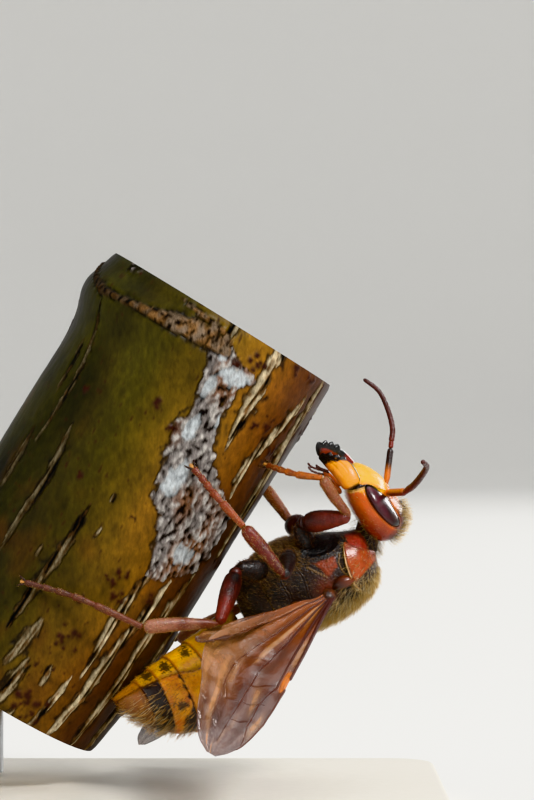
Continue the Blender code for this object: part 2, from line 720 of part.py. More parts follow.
def build_antennae():
    for hand_name, points in ANTENNAE.items():
        hand = 1.0 if hand_name == "left" else -1.0
        face = sample(HEAD_SHAPE, SOCKET_HEIGHT)[1]
        root = head_place((SOCKET_SIDE, face + GAP, SOCKET_HEIGHT), hand)
        elbow = Vector(points[0])
        path = [root.lerp(elbow, share) for share, width in SCAPE_SHAPE]
        form = limb_form(path, [SCAPE_RADIUS * width for share, width in SCAPE_SHAPE], LIMB_SIDES)
        add_object("antenna_" + hand_name + "_scape", form, "antenna")
        way = (Vector(points[1]) - elbow).normalized()
        start = elbow + way * (GAP + SCAPE_RADIUS)
        path = smooth_path([start] + [Vector(point) for point in points[1:]], FLAGELLUM_STEPS)
        last = len(path) - 1
        radii = [FLAGELLUM_RADIUS + (FLAGELLUM_TIP_RADIUS - FLAGELLUM_RADIUS) * (k / last) ** 2
                 for k in range(last + 1)]
        half = last // 2
        cut = (path[half + 1] - path[half]).normalized() * GAP
        near = limb_form(path[:half + 1], radii[:half + 1], LIMB_SIDES)
        add_object("antenna_" + hand_name + "_flagellum", near, "antenna")
        far = limb_form([path[half] + cut] + path[half + 1:], radii[half:], LIMB_SIDES)
        add_object("antenna_" + hand_name + "_tip", far, "antenna")


def gaster_section(along):
    low, high, half, slant = sample(GASTER_SHAPE, along)
    return section(gaster_axes, along, low, high, half, GASTER_POWER, GASTER_SIDES, slant)


def build_gaster():
    for k in range(6):
        start = SEGMENT_ENDS[k] + (0.0 if k == 0 else GAP / 2.0)
        end = SEGMENT_ENDS[k + 1] - (0.0 if k == 5 else GAP / 2.0)
        rings = [gaster_section(along) for along in steps_between(start, end, SEGMENT_STEP)]
        add_object("abdomen_" + str(k + 1), loft_form(rings), "shell_gold")


# Places across the chord at one share of a wing's length: both edges, three close
# columns to each vein and one between each two veins. The ridge runs on the middle one.
def wing_columns(share, chord_width, veins):
    half = min(VEIN_HALF_WIDTH / chord_width, VEIN_HALF_LIMIT)
    middles = [sample(places, share)[0] for places, end in veins]
    columns = [0.0]
    for k, middle in enumerate(middles):
        columns += [middle - half, middle, middle + half]
        if k + 1 < len(middles):
            columns.append((middle + middles[k + 1]) / 2.0)
    columns.append(1.0)
    return columns


def vein_column(k):
    return 2 + 4 * k


# Rows down the length: even ones, closer near the tip, and three close ones to each
# cross vein.
def wing_rows(length, cross):
    half = VEIN_HALF_WIDTH / length
    rows = [1.0 - (1.0 - i / WING_ROWS) ** WING_ROW_CROWD for i in range(WING_ROWS + 1)]
    for share, first, last in cross:
        rows = [row for row in rows if abs(row - share) > CROSS_VEIN_CLEAR * half]
        rows += [share - half, share, share + half]
    return sorted(rows)


# A wing as a thin vane, with both faces split into the same triangles and the veins
# raised in both.
def wing_form(base, span, chord, face, length, outline, camber, veins, cross):
    form = bmesh.new()
    upper = []
    lower = []
    for share in wing_rows(length, cross):
        lead, trail = sample(outline, share)
        columns = wing_columns(share, trail - lead, veins)
        raised = {0} if share < LEADING_VEIN_END else set()
        raised |= {vein_column(k) for k, (places, end) in enumerate(veins) if share <= end}
        for place, first, last in cross:
            if abs(share - place) < 1e-6:
                raised |= set(range(vein_column(first), vein_column(last) + 1))
        over = []
        under = []
        for j, column in enumerate(columns):
            across = lead + (trail - lead) * column
            bulge = camber * math.sin(math.pi * share) * math.sin(math.pi * column)
            middle = base + span * length * share + chord * across + face * bulge
            thick = WING_THICKNESS / 2.0 + (VEIN_HEIGHT if j in raised else 0.0)
            over.append(form.verts.new(middle + face * thick))
            under.append(form.verts.new(middle - face * thick))
        upper.append(over)
        lower.append(under)
    rows = len(upper) - 1
    columns = len(upper[0]) - 1
    for side in (upper, lower):
        for i in range(rows):
            for j in range(columns):
                form.faces.new((side[i][j], side[i + 1][j], side[i + 1][j + 1]))
                form.faces.new((side[i][j], side[i + 1][j + 1], side[i][j + 1]))
    for i in (0, rows):
        for j in range(columns):
            form.faces.new((upper[i][j], upper[i][j + 1], lower[i][j + 1], lower[i][j]))
    for j in (0, columns):
        for i in range(rows):
            form.faces.new((upper[i][j], upper[i + 1][j], lower[i + 1][j], lower[i][j]))
    return form


def wing_axes(hand_name):
    span = WING_SPAN[hand_name].normalized()
    chord = WING_CHORD[hand_name]
    chord = (chord - span * chord.dot(span)).normalized()
    face = span.cross(chord)
    if hand_name == "right":
        face = -face
    return span, chord, face


def wing_base(place, hand):
    side = thorax_half(place[0]) * WING_ROOT_SIDE + GAP + WING_THICKNESS
    return thorax_axes.point(place[0], place[1], hand * side)


def build_wings():
    for hand_name, hand in (("left", 1.0), ("right", -1.0)):
        span, chord, face = wing_axes(hand_name)
        base = wing_base(FOREWING_BASE, hand)
        form = wing_form(base, span, chord, face, FOREWING_LENGTH, FOREWING_OUTLINE, FOREWING_CAMBER,
                         FOREWING_VEINS, FOREWING_CROSS)
        add_object("forewing_" + hand_name, form, "wing")
        base = wing_base(HINDWING_BASE, hand)
        mix = HINDWING_SPAN_MIX[hand_name]
        hind_span = (span * mix[0] + chord * mix[1] + face * mix[2]).normalized()
        hind_chord = (chord - hind_span * chord.dot(hind_span)).normalized()
        hind_face = hind_span.cross(hind_chord) * hand
        twist = HINDWING_TWIST[hand_name]
        hind_chord = hind_chord * math.cos(twist) + hind_face * math.sin(twist)
        hind_face = hind_span.cross(hind_chord) * hand
        form = wing_form(base, hind_span, hind_chord, hind_face, HINDWING_LENGTH, HINDWING_OUTLINE,
                         HINDWING_CAMBER, HINDWING_VEINS, HINDWING_CROSS)
        add_object("hindwing_" + hand_name, form, "wing")


# A short spike that tapers along a straight or bent way.
def spike_form(points, radius):
    last = len(points) - 1
    radii = [radius * (1.0 - (1.0 - SPIKE_TIP) * k / last) for k in range(last + 1)]
    return limb_form(points, radii, SPIKE_SIDES)


# The spurs at the end of a tibia stand out on its lower side, one on the foreleg and
# two on the others.
def spur_forms(root, way, next_way, radius, pair):
    length = SPUR_LENGTH[pair]
    side = way.cross(next_way).normalized()
    turns = (0.0,) if pair == "fore" else (-SPUR_SPREAD, SPUR_SPREAD)
    below = (way - next_way).normalized()
    forms = []
    for turn in turns:
        out = (below * SPUR_DROP + side * turn).normalized()
        start = root + out * radius * SPUR_ROOT
        lean = (way * SPUR_LEAN[0] + out * SPUR_LEAN[1]).normalized()
        forms.append(spike_form([start, start + lean * length], SPUR_RADIUS))
    return forms


# The tarsus is five tarsomeres, each widening towards its end.
def tarsus_rings(path):
    reach = [0.0]
    for first, second in zip(path, path[1:]):
        reach.append(reach[-1] + (second - first).length)
    length = reach[-1]
    points = []
    sizes = []
    start = 0.0
    for end in TARSOMERE_ENDS:
        for share, width in TARSOMERE_WIDTHS:
            drop = TARSOMERE_STEP if share == 0.0 and start > 0.0 else 0.0
            place = min(start + (end - start) * share + drop, 1.0)
            k = min(max(i for i in range(len(reach)) if reach[i] <= place * length + 1e-9), len(path) - 2)
            along = (place * length - reach[k]) / (reach[k + 1] - reach[k])
            points.append(path[k].lerp(path[k + 1], along))
            sizes.append((TARSUS_RADII[0] + (TARSUS_RADII[1] - TARSUS_RADII[0]) * place) * width)
        start = end
    return points, sizes


# Two claws at the end of a tarsus, bent down towards the bark.
def claw_forms(root, way, toe):
    along, degrees, height = toe
    around = math.radians(degrees)
    out = (stem_point(along, around, 1.0) - stem_point(along, around, 0.0)).normalized()
    side = way.cross(out).normalized()
    forms = []
    for hand in (-1.0, 1.0):
        start = root - way * CLAW_ROOT[0] + side * hand * CLAW_ROOT[1]
        rising = (way + side * hand * CLAW_SPREAD[0] + out * CLAW_RISE).normalized()
        middle = root + rising * CLAW_STRETCHES[0]
        falling = (way - out * CLAW_FALL + side * hand * CLAW_SPREAD[1]).normalized()
        end = middle + falling * CLAW_STRETCHES[1]
        forms.append(spike_form([start, middle, end], CLAW_RADIUS))
    return forms


def build_legs():
    for name, leg in LEGS.items():
        pair = name.split("_")[0]
        coxa_radii = COXA_RADII[pair]
        femur_radii = FEMUR_RADII[pair]
        tibia_radii = TIBIA_RADII[pair]
        hip, out = thorax_point(leg["hip"][0], leg["hip"][1], GAP)
        trochanter = Vector(leg["trochanter"])
        knee = Vector(leg["knee"])
        ankle = Vector(leg["ankle"])
        toes = [stem_point(along, math.radians(degrees), height) for along, degrees, height in leg["toes"]]
        ways = [(trochanter - hip).normalized(), (knee - trochanter).normalized(),
                (ankle - knee).normalized(), (toes[0] - ankle).normalized()]
        before, after = joint_room(ways[0], ways[1], coxa_radii[2], femur_radii[0])
        hip = hip + out * coxa_radii[0] * COXA_LIFT * math.sin(out.angle(ways[0]))
        path = [hip, trochanter - ways[0] * before]
        parts = [("coxa", path, coxa_radii, COXA_THICKEST, "shell_dark")]
        start = trochanter + ways[1] * after
        before, after = joint_room(ways[1], ways[2], femur_radii[2], tibia_radii[0])
        parts.append(("femur", [start, knee - ways[1] * before], femur_radii, FEMUR_THICKEST, "leg"))
        start = knee + ways[2] * after
        before, after = joint_room(ways[2], ways[3], tibia_radii[2], TARSUS_RADII[0])
        parts.append(("tibia", [start, ankle - ways[2] * before], tibia_radii, TIBIA_THICKEST, "leg"))
        for part, path, radii, thickest, material in parts:
            points, sizes = taper(path, radii, thickest)
            add_object("leg_" + name + "_" + part, limb_form(points, sizes, LIMB_SIDES), material)
            if part == "tibia":
                fuse(hornet.objects["leg_" + name + "_tibia"],
                     spur_forms(points[-2], ways[2], ways[3], sizes[-2], pair))
        path = smooth_path([ankle + ways[3] * after] + toes, TARSUS_STEPS)
        points, sizes = tarsus_rings(path)
        tarsus = add_object("leg_" + name + "_tarsus", limb_form(points, sizes, LIMB_SIDES), "leg")
        fuse(tarsus, claw_forms(points[-1], (points[-1] - points[-2]).normalized(), leg["toes"][-1]))


cutters = bpy.data.collections.new("cutters")
bpy.context.scene.collection.children.link(cutters)

build_stand()
build_stem()
build_thorax()
build_head(cutters)
build_mandibles()
build_antennae()
build_gaster()
build_wings()
build_legs()
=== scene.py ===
import functools
import math

import bmesh
import bpy
import numpy as np
from mathutils import Matrix, Vector, noise


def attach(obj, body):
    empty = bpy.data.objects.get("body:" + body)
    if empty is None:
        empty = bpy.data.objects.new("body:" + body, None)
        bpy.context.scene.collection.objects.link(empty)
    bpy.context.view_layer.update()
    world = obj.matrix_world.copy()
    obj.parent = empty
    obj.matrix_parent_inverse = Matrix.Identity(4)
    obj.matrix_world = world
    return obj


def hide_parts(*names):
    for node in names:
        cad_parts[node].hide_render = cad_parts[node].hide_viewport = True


# A queen of the European hornet, life size, head up on a short length of woody stem.
# Shapes are drawn in millimetres in the frame of their own body part and turned to
# metres in the world when a piece is finished.
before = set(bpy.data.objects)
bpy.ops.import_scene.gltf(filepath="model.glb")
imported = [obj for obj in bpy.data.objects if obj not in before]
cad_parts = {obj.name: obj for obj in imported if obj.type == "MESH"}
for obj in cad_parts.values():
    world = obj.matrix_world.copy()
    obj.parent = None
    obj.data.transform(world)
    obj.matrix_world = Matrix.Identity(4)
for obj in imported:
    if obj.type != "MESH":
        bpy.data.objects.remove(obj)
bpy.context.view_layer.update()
millimetre = 0.001
fullTurn = 2.0 * math.pi
gap = 0.3                        # what the solids keep between neighbours


# sRGB hex to linear red, green, blue and alpha
@functools.lru_cache(maxsize=None)
def linear(code):
    values = [int(code[i:i + 2], 16) / 255.0 for i in (0, 2, 4)]
    return [v / 12.92 if v <= 0.04045 else ((v + 0.055) / 1.055) ** 2.4 for v in values] + [1.0]


# from one colour towards another, each a hex code or linear values
def mixColours(first, second, share):
    share = min(max(share, 0.0), 1.0)
    first = linear(first) if isinstance(first, str) else first
    second = linear(second) if isinstance(second, str) else second
    return [a + (b - a) * share for a, b in zip(first, second)]


def ease(low, high, value):
    t = min(max((value - low) / (high - low), 0.0), 1.0)
    return t * t * (3.0 - 2.0 * t)


def easeRows(low, high, values):
    t = np.clip((values - low) / (high - low), 0.0, 1.0)
    return t * t * (3.0 - 2.0 * t)


# 1 at the centre, fading out over the width
def swell(value, centre, width):
    return math.exp(-((value - centre) / width) ** 2)


def signedPower(value, exponent):
    return math.copysign(abs(value) ** exponent, value)


def grain(point, size):
    return noise.noise(Vector(point) / size)


# the row of a shape table at one place, on a smooth curve through its rows
def sample(table, place):
    last = len(table) - 1
    if place <= table[0][0]:
        return table[0][1:]
    if place >= table[last][0]:
        return table[last][1:]
    k = max(i for i in range(last) if table[i][0] <= place)
    before, start, end, after = table[max(k - 1, 0)], table[k], table[k + 1], table[min(k + 2, last)]
    span = end[0] - start[0]
    t = (place - start[0]) / span
    row = []
    for i in range(1, len(start)):
        slopeIn = (end[i] - before[i]) / (end[0] - before[0]) * span
        slopeOut = (after[i] - start[i]) / (after[0] - start[0]) * span
        row.append((2 * t ** 3 - 3 * t ** 2 + 1) * start[i] + (t ** 3 - 2 * t ** 2 + t) * slopeIn
                   + (3 * t ** 2 - 2 * t ** 3) * end[i] + (t ** 3 - t ** 2) * slopeOut)
    return row


# shortest distance from (x, z) to a bent line
def lineDistance(x, z, points):
    best = 1e9
    for (x0, z0), (x1, z1) in zip(points, points[1:]):
        dx, dz = x1 - x0, z1 - z0
        t = min(max(((x - x0) * dx + (z - z0) * dz) / (dx * dx + dz * dz), 0.0), 1.0)
        best = min(best, math.hypot(x - x0 - t * dx, z - z0 - t * dz))
    return best


# Local axes of a body part: x ahead, y to her left, z up
def bodyFrame(origin, ahead, side, up):
    turn = Matrix((ahead, side, up)).transposed().to_4x4()
    return Matrix.Translation(Vector(origin)) @ turn


left = Vector((0.0, -1.0, 0.0))
world = Matrix.Identity(4)

# Places and turns of head, thorax, gaster and stem, the same as the solids have
stance = {
    "thoraxCentre": (12.67, 0.0, 20.58),
    "thoraxClimb": math.radians(24.0),
    "headTip": (16.25, 0.0, 30.08),
    "headDrop": math.radians(40.3),
    "headTurn": math.radians(7.0),       # yaw and roll towards the viewer
    "headPivot": (-1.8, 4.6),            # ahead and up the head
    "gasterRoot": (6.17, 0.0, 17.41),
    "gasterDrop": math.radians(34.5),
    "gasterYaw": math.radians(15.0),
    "gasterStretch": 1.035,
}

climb = stance["thoraxClimb"]
thoraxFrame = bodyFrame(stance["thoraxCentre"], (math.cos(climb), 0.0, math.sin(climb)), left,
                        (math.sin(climb), 0.0, -math.cos(climb)))


def makeHeadFrame():
    drop = stance["headDrop"]
    up = Vector((math.cos(drop), 0.0, -math.sin(drop)))
    ahead = Vector((math.sin(drop), 0.0, math.cos(drop)))
    turn = Matrix.Rotation(stance["headTurn"], 3, up) @ Matrix.Rotation(stance["headTurn"], 3, ahead)
    tip = Vector(stance["headTip"])
    pivot = tip + up * stance["headPivot"][1] + ahead * stance["headPivot"][0]
    return bodyFrame(pivot + turn @ (tip - pivot), turn @ ahead, turn @ left, turn @ up)


def makeGasterFrame():
    drop, yaw = stance["gasterDrop"], stance["gasterYaw"]
    level = Vector((-math.cos(drop), 0.0, -math.sin(drop)))
    ahead = (level * math.cos(yaw) + left * math.sin(yaw)) * stance["gasterStretch"]
    side = left * math.cos(yaw) - level * math.sin(yaw)
    return bodyFrame(stance["gasterRoot"], ahead, side, (math.sin(drop), 0.0, -math.cos(drop)))


headFrame = makeHeadFrame()
gasterFrame = makeGasterFrame()


# A closed form from a ball: place(share, angle) says where each point of it goes, and
# colourAt(share, angle), if given, which colour it gets
def wrapBall(sides, rings, place, colourAt=None):
    form = bmesh.new()
    bmesh.ops.create_uvsphere(form, u_segments=sides, v_segments=rings, radius=1.0)
    layer = form.verts.layers.float_color.new("markings")
    for vert in form.verts:
        share = math.acos(max(-1.0, min(1.0, -vert.co.z))) / math.pi
        angle = math.atan2(vert.co.y, vert.co.x)
        vert.co = place(share, angle)
        if colourAt:
            vert[layer] = colourAt(share, angle)
    return form


# A drum with flat ends: place(along, angle, radial)
def wrapDrum(sides, rings, endRings, place):
    total = rings + 2 * endRings

    def onBall(share, angle):
        k = round(share * total)
        if k < endRings:
            return place(0.0, angle, k / endRings)
        if k > total - endRings:
            return place(1.0, angle, (total - k) / endRings)
        return place((k - endRings) / rings, angle, 1.0)
    return wrapBall(sides, total, onBall)


# how wide a rounded end still is, for an end that takes the given share of the length
def roundEnds(share, start, end):
    near = min(share / start, (1.0 - share) / end, 1.0)
    return math.sqrt(max(0.0, 1.0 - (1.0 - near) ** 2))


def evenPath(points, steps):
    table = [(0.0, *points[0])]
    for first, second in zip(points, points[1:]):
        table.append((table[-1][0] + (Vector(second) - Vector(first)).length, *second))
    length = table[-1][0]
    return [Vector(sample(table, length * i / steps)) for i in range(steps + 1)]


# A limb along a path, with its width from a function of the share of the length
def limbForm(points, widthAt, sides=16, rings=40, flat=1.0, across=None):
    stations = evenPath(points, rings)
    rows = []
    side = Vector(across) if across else (stations[1] - stations[0]).orthogonal()
    for k, point in enumerate(stations):
        way = (stations[min(k + 1, rings)] - stations[max(k - 1, 0)]).normalized()
        side = (side - way * side.dot(way)).normalized()
        rows.append((point, side.copy(), way.cross(side)))

    def place(share, angle):
        point, first, second = rows[round(share * rings)]
        width = widthAt(share)
        return point + first * math.cos(angle) * width + second * math.sin(angle) * width * flat
    return wrapBall(sides, rings, place)


# moves every point along its normal
def sculpt(form, reliefAt):
    bmesh.ops.recalc_face_normals(form, faces=form.faces)
    form.normal_update()
    moved = [vert.co + vert.normal * reliefAt(vert.co) for vert in form.verts]
    for vert, point in zip(form.verts, moved):
        vert.co = point


# the markings are a colour on each point, which the materials read: one hex code, or
# a function of the place
def paint(form, colourAt):
    layers = form.verts.layers.float_color
    layer = layers.get("markings") or layers.new("markings")
    for vert in form.verts:
        vert[layer] = linear(colourAt) if isinstance(colourAt, str) else colourAt(vert.co)


def joinForms(forms):
    joined = bmesh.new()
    for form in forms:
        mesh = bpy.data.meshes.new("joining")
        form.to_mesh(mesh)
        form.free()
        joined.from_mesh(mesh)
        bpy.data.meshes.remove(mesh)
    return joined


def addPiece(name, mesh, material, slot, nodes=()):
    mesh.materials.append(material)
    mesh.shade_smooth()
    piece = bpy.data.objects.new(name, mesh)
    bpy.context.scene.collection.objects.link(piece)
    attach(piece, "root")
    if nodes:
        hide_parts(*nodes)
    return piece


# turns a form in local millimetres into a piece in the world
def finishPiece(name, form, place, material, slot, nodes=(), sharp=None):
    bmesh.ops.transform(form, matrix=Matrix.Scale(millimetre, 4) @ place, verts=form.verts)
    form.normal_update()
    bmesh.ops.recalc_face_normals(form, faces=form.faces)
    mesh = bpy.data.meshes.new(name)
    form.to_mesh(mesh)
    form.free()
    piece = addPiece(name, mesh, material, slot, nodes)
    if sharp:
        mesh.set_sharp_from_angle(angle=math.radians(sharp))
    return piece


# adds a node with its settings and values; a link names the source node and its output
def addNode(tree, kind, settings=None, values=None, links=None):
    node = tree.nodes.new(kind)
    for name, value in (settings or {}).items():
        setattr(node, name, value)
    for name, value in (values or {}).items():
        node.inputs[name].default_value = value
    for name, (source, output) in (links or {}).items():
        tree.links.new(source.outputs[output], node.inputs[name])
    return node


# a material with the fixed values of its shader
def newMaterial(name, values):
    material = bpy.data.materials.new(name)
    material.use_nodes = True
    shader = material.node_tree.nodes["Principled BSDF"]
    for socket, value in values.items():
        shader.inputs[socket].default_value = value
    return material, material.node_tree, shader


def connect(tree, shader, links):
    for socket, (source, output) in links.items():
        tree.links.new(source.outputs[output], shader.inputs[socket])


# the place on the model and the painted markings
def patternSources(tree):
    return (addNode(tree, "ShaderNodeTexCoord"),
            addNode(tree, "ShaderNodeAttribute", {"attribute_name": "markings"}))


def cellsPerMetre(size):
    return 1.0 / (size * millimetre)


# the markings made darker and lighter by a noise: gives the noise and the colour
def mottled(tree, coordinates, markings, noiseValues, darkest, lightest):
    mottle = addNode(tree, "ShaderNodeTexNoise", None, noiseValues, {"Vector": (coordinates, "Object")})
    shade = addNode(tree, "ShaderNodeMapRange", None,
                    {"From Min": 0.3, "From Max": 0.7, "To Min": darkest, "To Max": lightest},
                    {"Value": (mottle, "Fac")})
    tinted = addNode(tree, "ShaderNodeMix", {"data_type": "RGBA", "blend_type": "MULTIPLY"},
                     {0: 1.0}, {6: (markings, "Color"), 7: (shade, "Result")})
    return mottle, tinted


# Insect cuticle, chitin hardened to a shell: it shines like lacquer, its colour lies
# under the surface, and it is dotted with the pits that its hairs grow from.
def makeCuticle(name, look):
    material, tree, shader = newMaterial(name, {
        "IOR": 1.56, "Coat Weight": look["coat"], "Coat Roughness": 0.12,
        "Subsurface Weight": look["depth"], "Subsurface Radius": (1.0, 0.45, 0.15),
        "Subsurface Scale": 0.25 * millimetre})
    coordinates, markings = patternSources(tree)
    mottle, tinted = mottled(tree, coordinates, markings,
                             {"Scale": cellsPerMetre(look["mottleSize"]), "Detail": 4.0, "Roughness": 0.6},
                             1.0 - look["mottle"], 1.0 + look["mottle"])
    pits = addNode(tree, "ShaderNodeTexVoronoi", {"feature": "SMOOTH_F1"},
                   {"Scale": cellsPerMetre(look["pitSize"]), "Smoothness": 0.6, "Randomness": 1.0},
                   {"Vector": (coordinates, "Object")})
    fine = addNode(tree, "ShaderNodeTexNoise", None,
                   {"Scale": cellsPerMetre(look["grainSize"]), "Detail": 3.0},
                   {"Vector": (coordinates, "Object")})
    height = addNode(tree, "ShaderNodeMath", {"operation": "MULTIPLY_ADD"}, {1: look["grain"]},
                     {0: (fine, "Fac"), 2: (pits, "Distance")})
    bump = addNode(tree, "ShaderNodeBump", None,
                   {"Strength": look["bump"], "Distance": look["pitSize"] * millimetre * 0.5},
                   {"Height": (height, "Value")})
    glossAndPitShade = addNode(tree, "ShaderNodeMapRange", None,
                    {"From Min": 0.35, "From Max": 0.7, "To Min": look["roughness"] * 0.8,
                     "To Max": look["roughness"] * 1.35}, {"Value": (mottle, "Fac")})
    connect(tree, shader, {"Base Color": (tinted, 2), "Roughness": (glossAndPitShade, "Result"),
                           "Normal": (bump, "Normal")})
    return material


polished = makeCuticle("polished_cuticle", {
    "roughness": 0.32, "coat": 0.22, "bump": 0.14, "pitSize": 0.16, "grainSize": 0.06, "grain": 0.3,
    "mottle": 0.12, "mottleSize": 0.5, "depth": 0.04})
rough = makeCuticle("punctured_cuticle", {
    "roughness": 0.46, "coat": 0.10, "bump": 0.65, "pitSize": 0.20, "grainSize": 0.05, "grain": 0.5,
    "mottle": 0.30, "mottleSize": 0.35, "depth": 0.0})
limbShell = makeCuticle("limb_cuticle", {
    "roughness": 0.42, "coat": 0.12, "bump": 0.55, "pitSize": 0.16, "grainSize": 0.05, "grain": 0.5,
    "mottle": 0.28, "mottleSize": 0.3, "depth": 0.05})


# Cornea of a compound eye: hard clear facets over brown pigment. Real facets are
# 0.03 mm wide, these are drawn a little coarser so that they show.
def makeEyeMaterial():
    material, tree, shader = newMaterial("faceted_cornea", {
        "Roughness": 0.30, "IOR": 1.45, "Coat Weight": 0.45, "Coat Roughness": 0.08})
    coordinates, markings = patternSources(tree)
    streaks, tinted = mottled(tree, coordinates, markings, {"Scale": cellsPerMetre(0.7), "Detail": 3.0},
                              0.55, 1.5)
    facets = addNode(tree, "ShaderNodeTexVoronoi", {"feature": "F1"},
                     {"Scale": cellsPerMetre(0.06), "Randomness": 0.15},
                     {"Vector": (coordinates, "Object")})
    bump = addNode(tree, "ShaderNodeBump", {"invert": True},
                   {"Strength": 0.25, "Distance": 0.02 * millimetre}, {"Height": (facets, "Distance")})
    connect(tree, shader, {"Base Color": (tinted, 2), "Normal": (bump, "Normal")})
    return material


# Setae: solid golden hairs of chitin, with a soft shine along them
def makeHairMaterial():
    material, tree, shader = newMaterial("golden_setae", {
        "Roughness": 0.42, "IOR": 1.55, "Sheen Weight": 0.25, "Sheen Roughness": 0.4})
    markings = addNode(tree, "ShaderNodeAttribute", {"attribute_name": "markings"})
    connect(tree, shader, {"Base Color": (markings, "Color")})
    return material


# Wing membrane: two layers of clear cuticle stained amber near the root, smoky further out
def makeMembraneMaterial():
    material, tree, shader = newMaterial("wing_membrane", {
        "Roughness": 0.22, "IOR": 1.6, "Coat Weight": 0.5, "Coat Roughness": 0.10})
    coordinates, markings = patternSources(tree)
    clouds, tinted = mottled(tree, coordinates, markings,
                             {"Scale": cellsPerMetre(1.6), "Detail": 3.0, "Roughness": 0.55}, 0.8, 1.2)
    crinkle = addNode(tree, "ShaderNodeTexNoise", None,
                      {"Scale": cellsPerMetre(0.35), "Detail": 4.0, "Roughness": 0.6},
                      {"Vector": (coordinates, "Object")})
    bump = addNode(tree, "ShaderNodeBump", None, {"Strength": 0.6, "Distance": 0.2 * millimetre},
                   {"Height": (crinkle, "Fac")})
    connect(tree, shader, {"Base Color": (tinted, 2), "Alpha": (markings, "Alpha"),
                           "Normal": (bump, "Normal")})
    return material


# Green bark of a woody cane: waxy and smooth between dry corky splits. Its specks and
# flakes are drawn out along the stem.
def makeBarkMaterial():
    material, tree, shader = newMaterial("cane_bark", {"IOR": 1.45, "Specular IOR Level": 0.3})
    coordinates, markings = patternSources(tree)
    drynessAndLight = addNode(tree, "ShaderNodeAttribute", {"attribute_name": "drynessAndLight"})
    along = addNode(tree, "ShaderNodeMapping", None,
                    {"Rotation": (0.0, -barkLook["lean"], 0.0), "Scale": (1.0, 1.0, 0.35)},
                    {"Vector": (coordinates, "Object")})
    specks = addNode(tree, "ShaderNodeTexNoise", None,
                     {"Scale": cellsPerMetre(0.30), "Detail": 5.0, "Roughness": 0.7},
                     {"Vector": (along, "Vector")})
    spread = addNode(tree, "ShaderNodeMapRange", None, {"To Min": 1.8, "To Max": 3.2},
                     {"Value": (drynessAndLight, "Fac")})
    centred = addNode(tree, "ShaderNodeMath", {"operation": "SUBTRACT"}, {1: 0.5}, {0: (specks, "Fac")})
    contrast = addNode(tree, "ShaderNodeMath", {"operation": "MULTIPLY_ADD"}, {2: 1.0},
                       {0: (centred, "Value"), 1: (spread, "Result")})
    shade = addNode(tree, "ShaderNodeMath", {"operation": "MAXIMUM"}, {1: 0.08}, {0: (contrast, "Value")})
    tinted = addNode(tree, "ShaderNodeMix", {"data_type": "RGBA", "blend_type": "MULTIPLY"},
                     {0: 1.0}, {6: (markings, "Color"), 7: (shade, "Value")})
    flakes = addNode(tree, "ShaderNodeTexNoise", None,
                     {"Scale": cellsPerMetre(0.16), "Detail": 5.0, "Roughness": 0.7},
                     {"Vector": (along, "Vector")})
    strength = addNode(tree, "ShaderNodeMapRange", None, {"To Min": 0.12, "To Max": 0.9},
                       {"Value": (drynessAndLight, "Fac")})
    bump = addNode(tree, "ShaderNodeBump", None, {"Distance": 0.12 * millimetre},
                   {"Height": (flakes, "Fac"), "Strength": (strength, "Result")})
    glossAndPitShade = addNode(tree, "ShaderNodeMapRange", None, {"To Min": 0.45, "To Max": 0.9},
                    {"Value": (drynessAndLight, "Fac")})
    connect(tree, shader, {"Base Color": (tinted, 2), "Roughness": (glossAndPitShade, "Result"),
                           "Normal": (bump, "Normal")})
    return material


# Lacquered fibreboard: smooth and pale, with the faint orange peel of sprayed paint
def makeBoardMaterial():
    material, tree, shader = newMaterial("lacquered_board", {"Roughness": 0.38})
    coordinates = addNode(tree, "ShaderNodeTexCoord")
    peel = addNode(tree, "ShaderNodeTexNoise", None, {"Scale": cellsPerMetre(0.9), "Detail": 2.0},
                   {"Vector": (coordinates, "Object")})
    bump = addNode(tree, "ShaderNodeBump", None, {"Strength": 0.10, "Distance": 0.05 * millimetre},
                   {"Height": (peel, "Fac")})
    colours = addNode(tree, "ShaderNodeMix", {"data_type": "RGBA"},
                      {6: linear(standLook["board"]), 7: linear(standLook["boardPale"])},
                      {0: (peel, "Fac")})
    connect(tree, shader, {"Base Color": (colours, 2), "Normal": (bump, "Normal")})
    return material


# Brushed stainless steel rod: the brushing runs round it, so the noise is flat in z
def makeSteelMaterial():
    material, tree, shader = newMaterial("brushed_steel", {
        "Base Color": linear(standLook["steel"]), "Metallic": 1.0})
    coordinates = addNode(tree, "ShaderNodeTexCoord")
    lying = addNode(tree, "ShaderNodeMapping", None, {"Scale": (0.08, 0.08, 1.0)},
                    {"Vector": (coordinates, "Object")})
    brushing = addNode(tree, "ShaderNodeTexNoise", None, {"Scale": cellsPerMetre(0.10), "Detail": 2.0},
                       {"Vector": (lying, "Vector")})
    glossAndPitShade = addNode(tree, "ShaderNodeMapRange", None, {"To Min": 0.24, "To Max": 0.42},
                    {"Value": (brushing, "Fac")})
    bump = addNode(tree, "ShaderNodeBump", None, {"Strength": 0.15, "Distance": 0.02 * millimetre},
                   {"Height": (brushing, "Fac")})
    connect(tree, shader, {"Roughness": (glossAndPitShade, "Result"), "Normal": (bump, "Normal")})
    return material


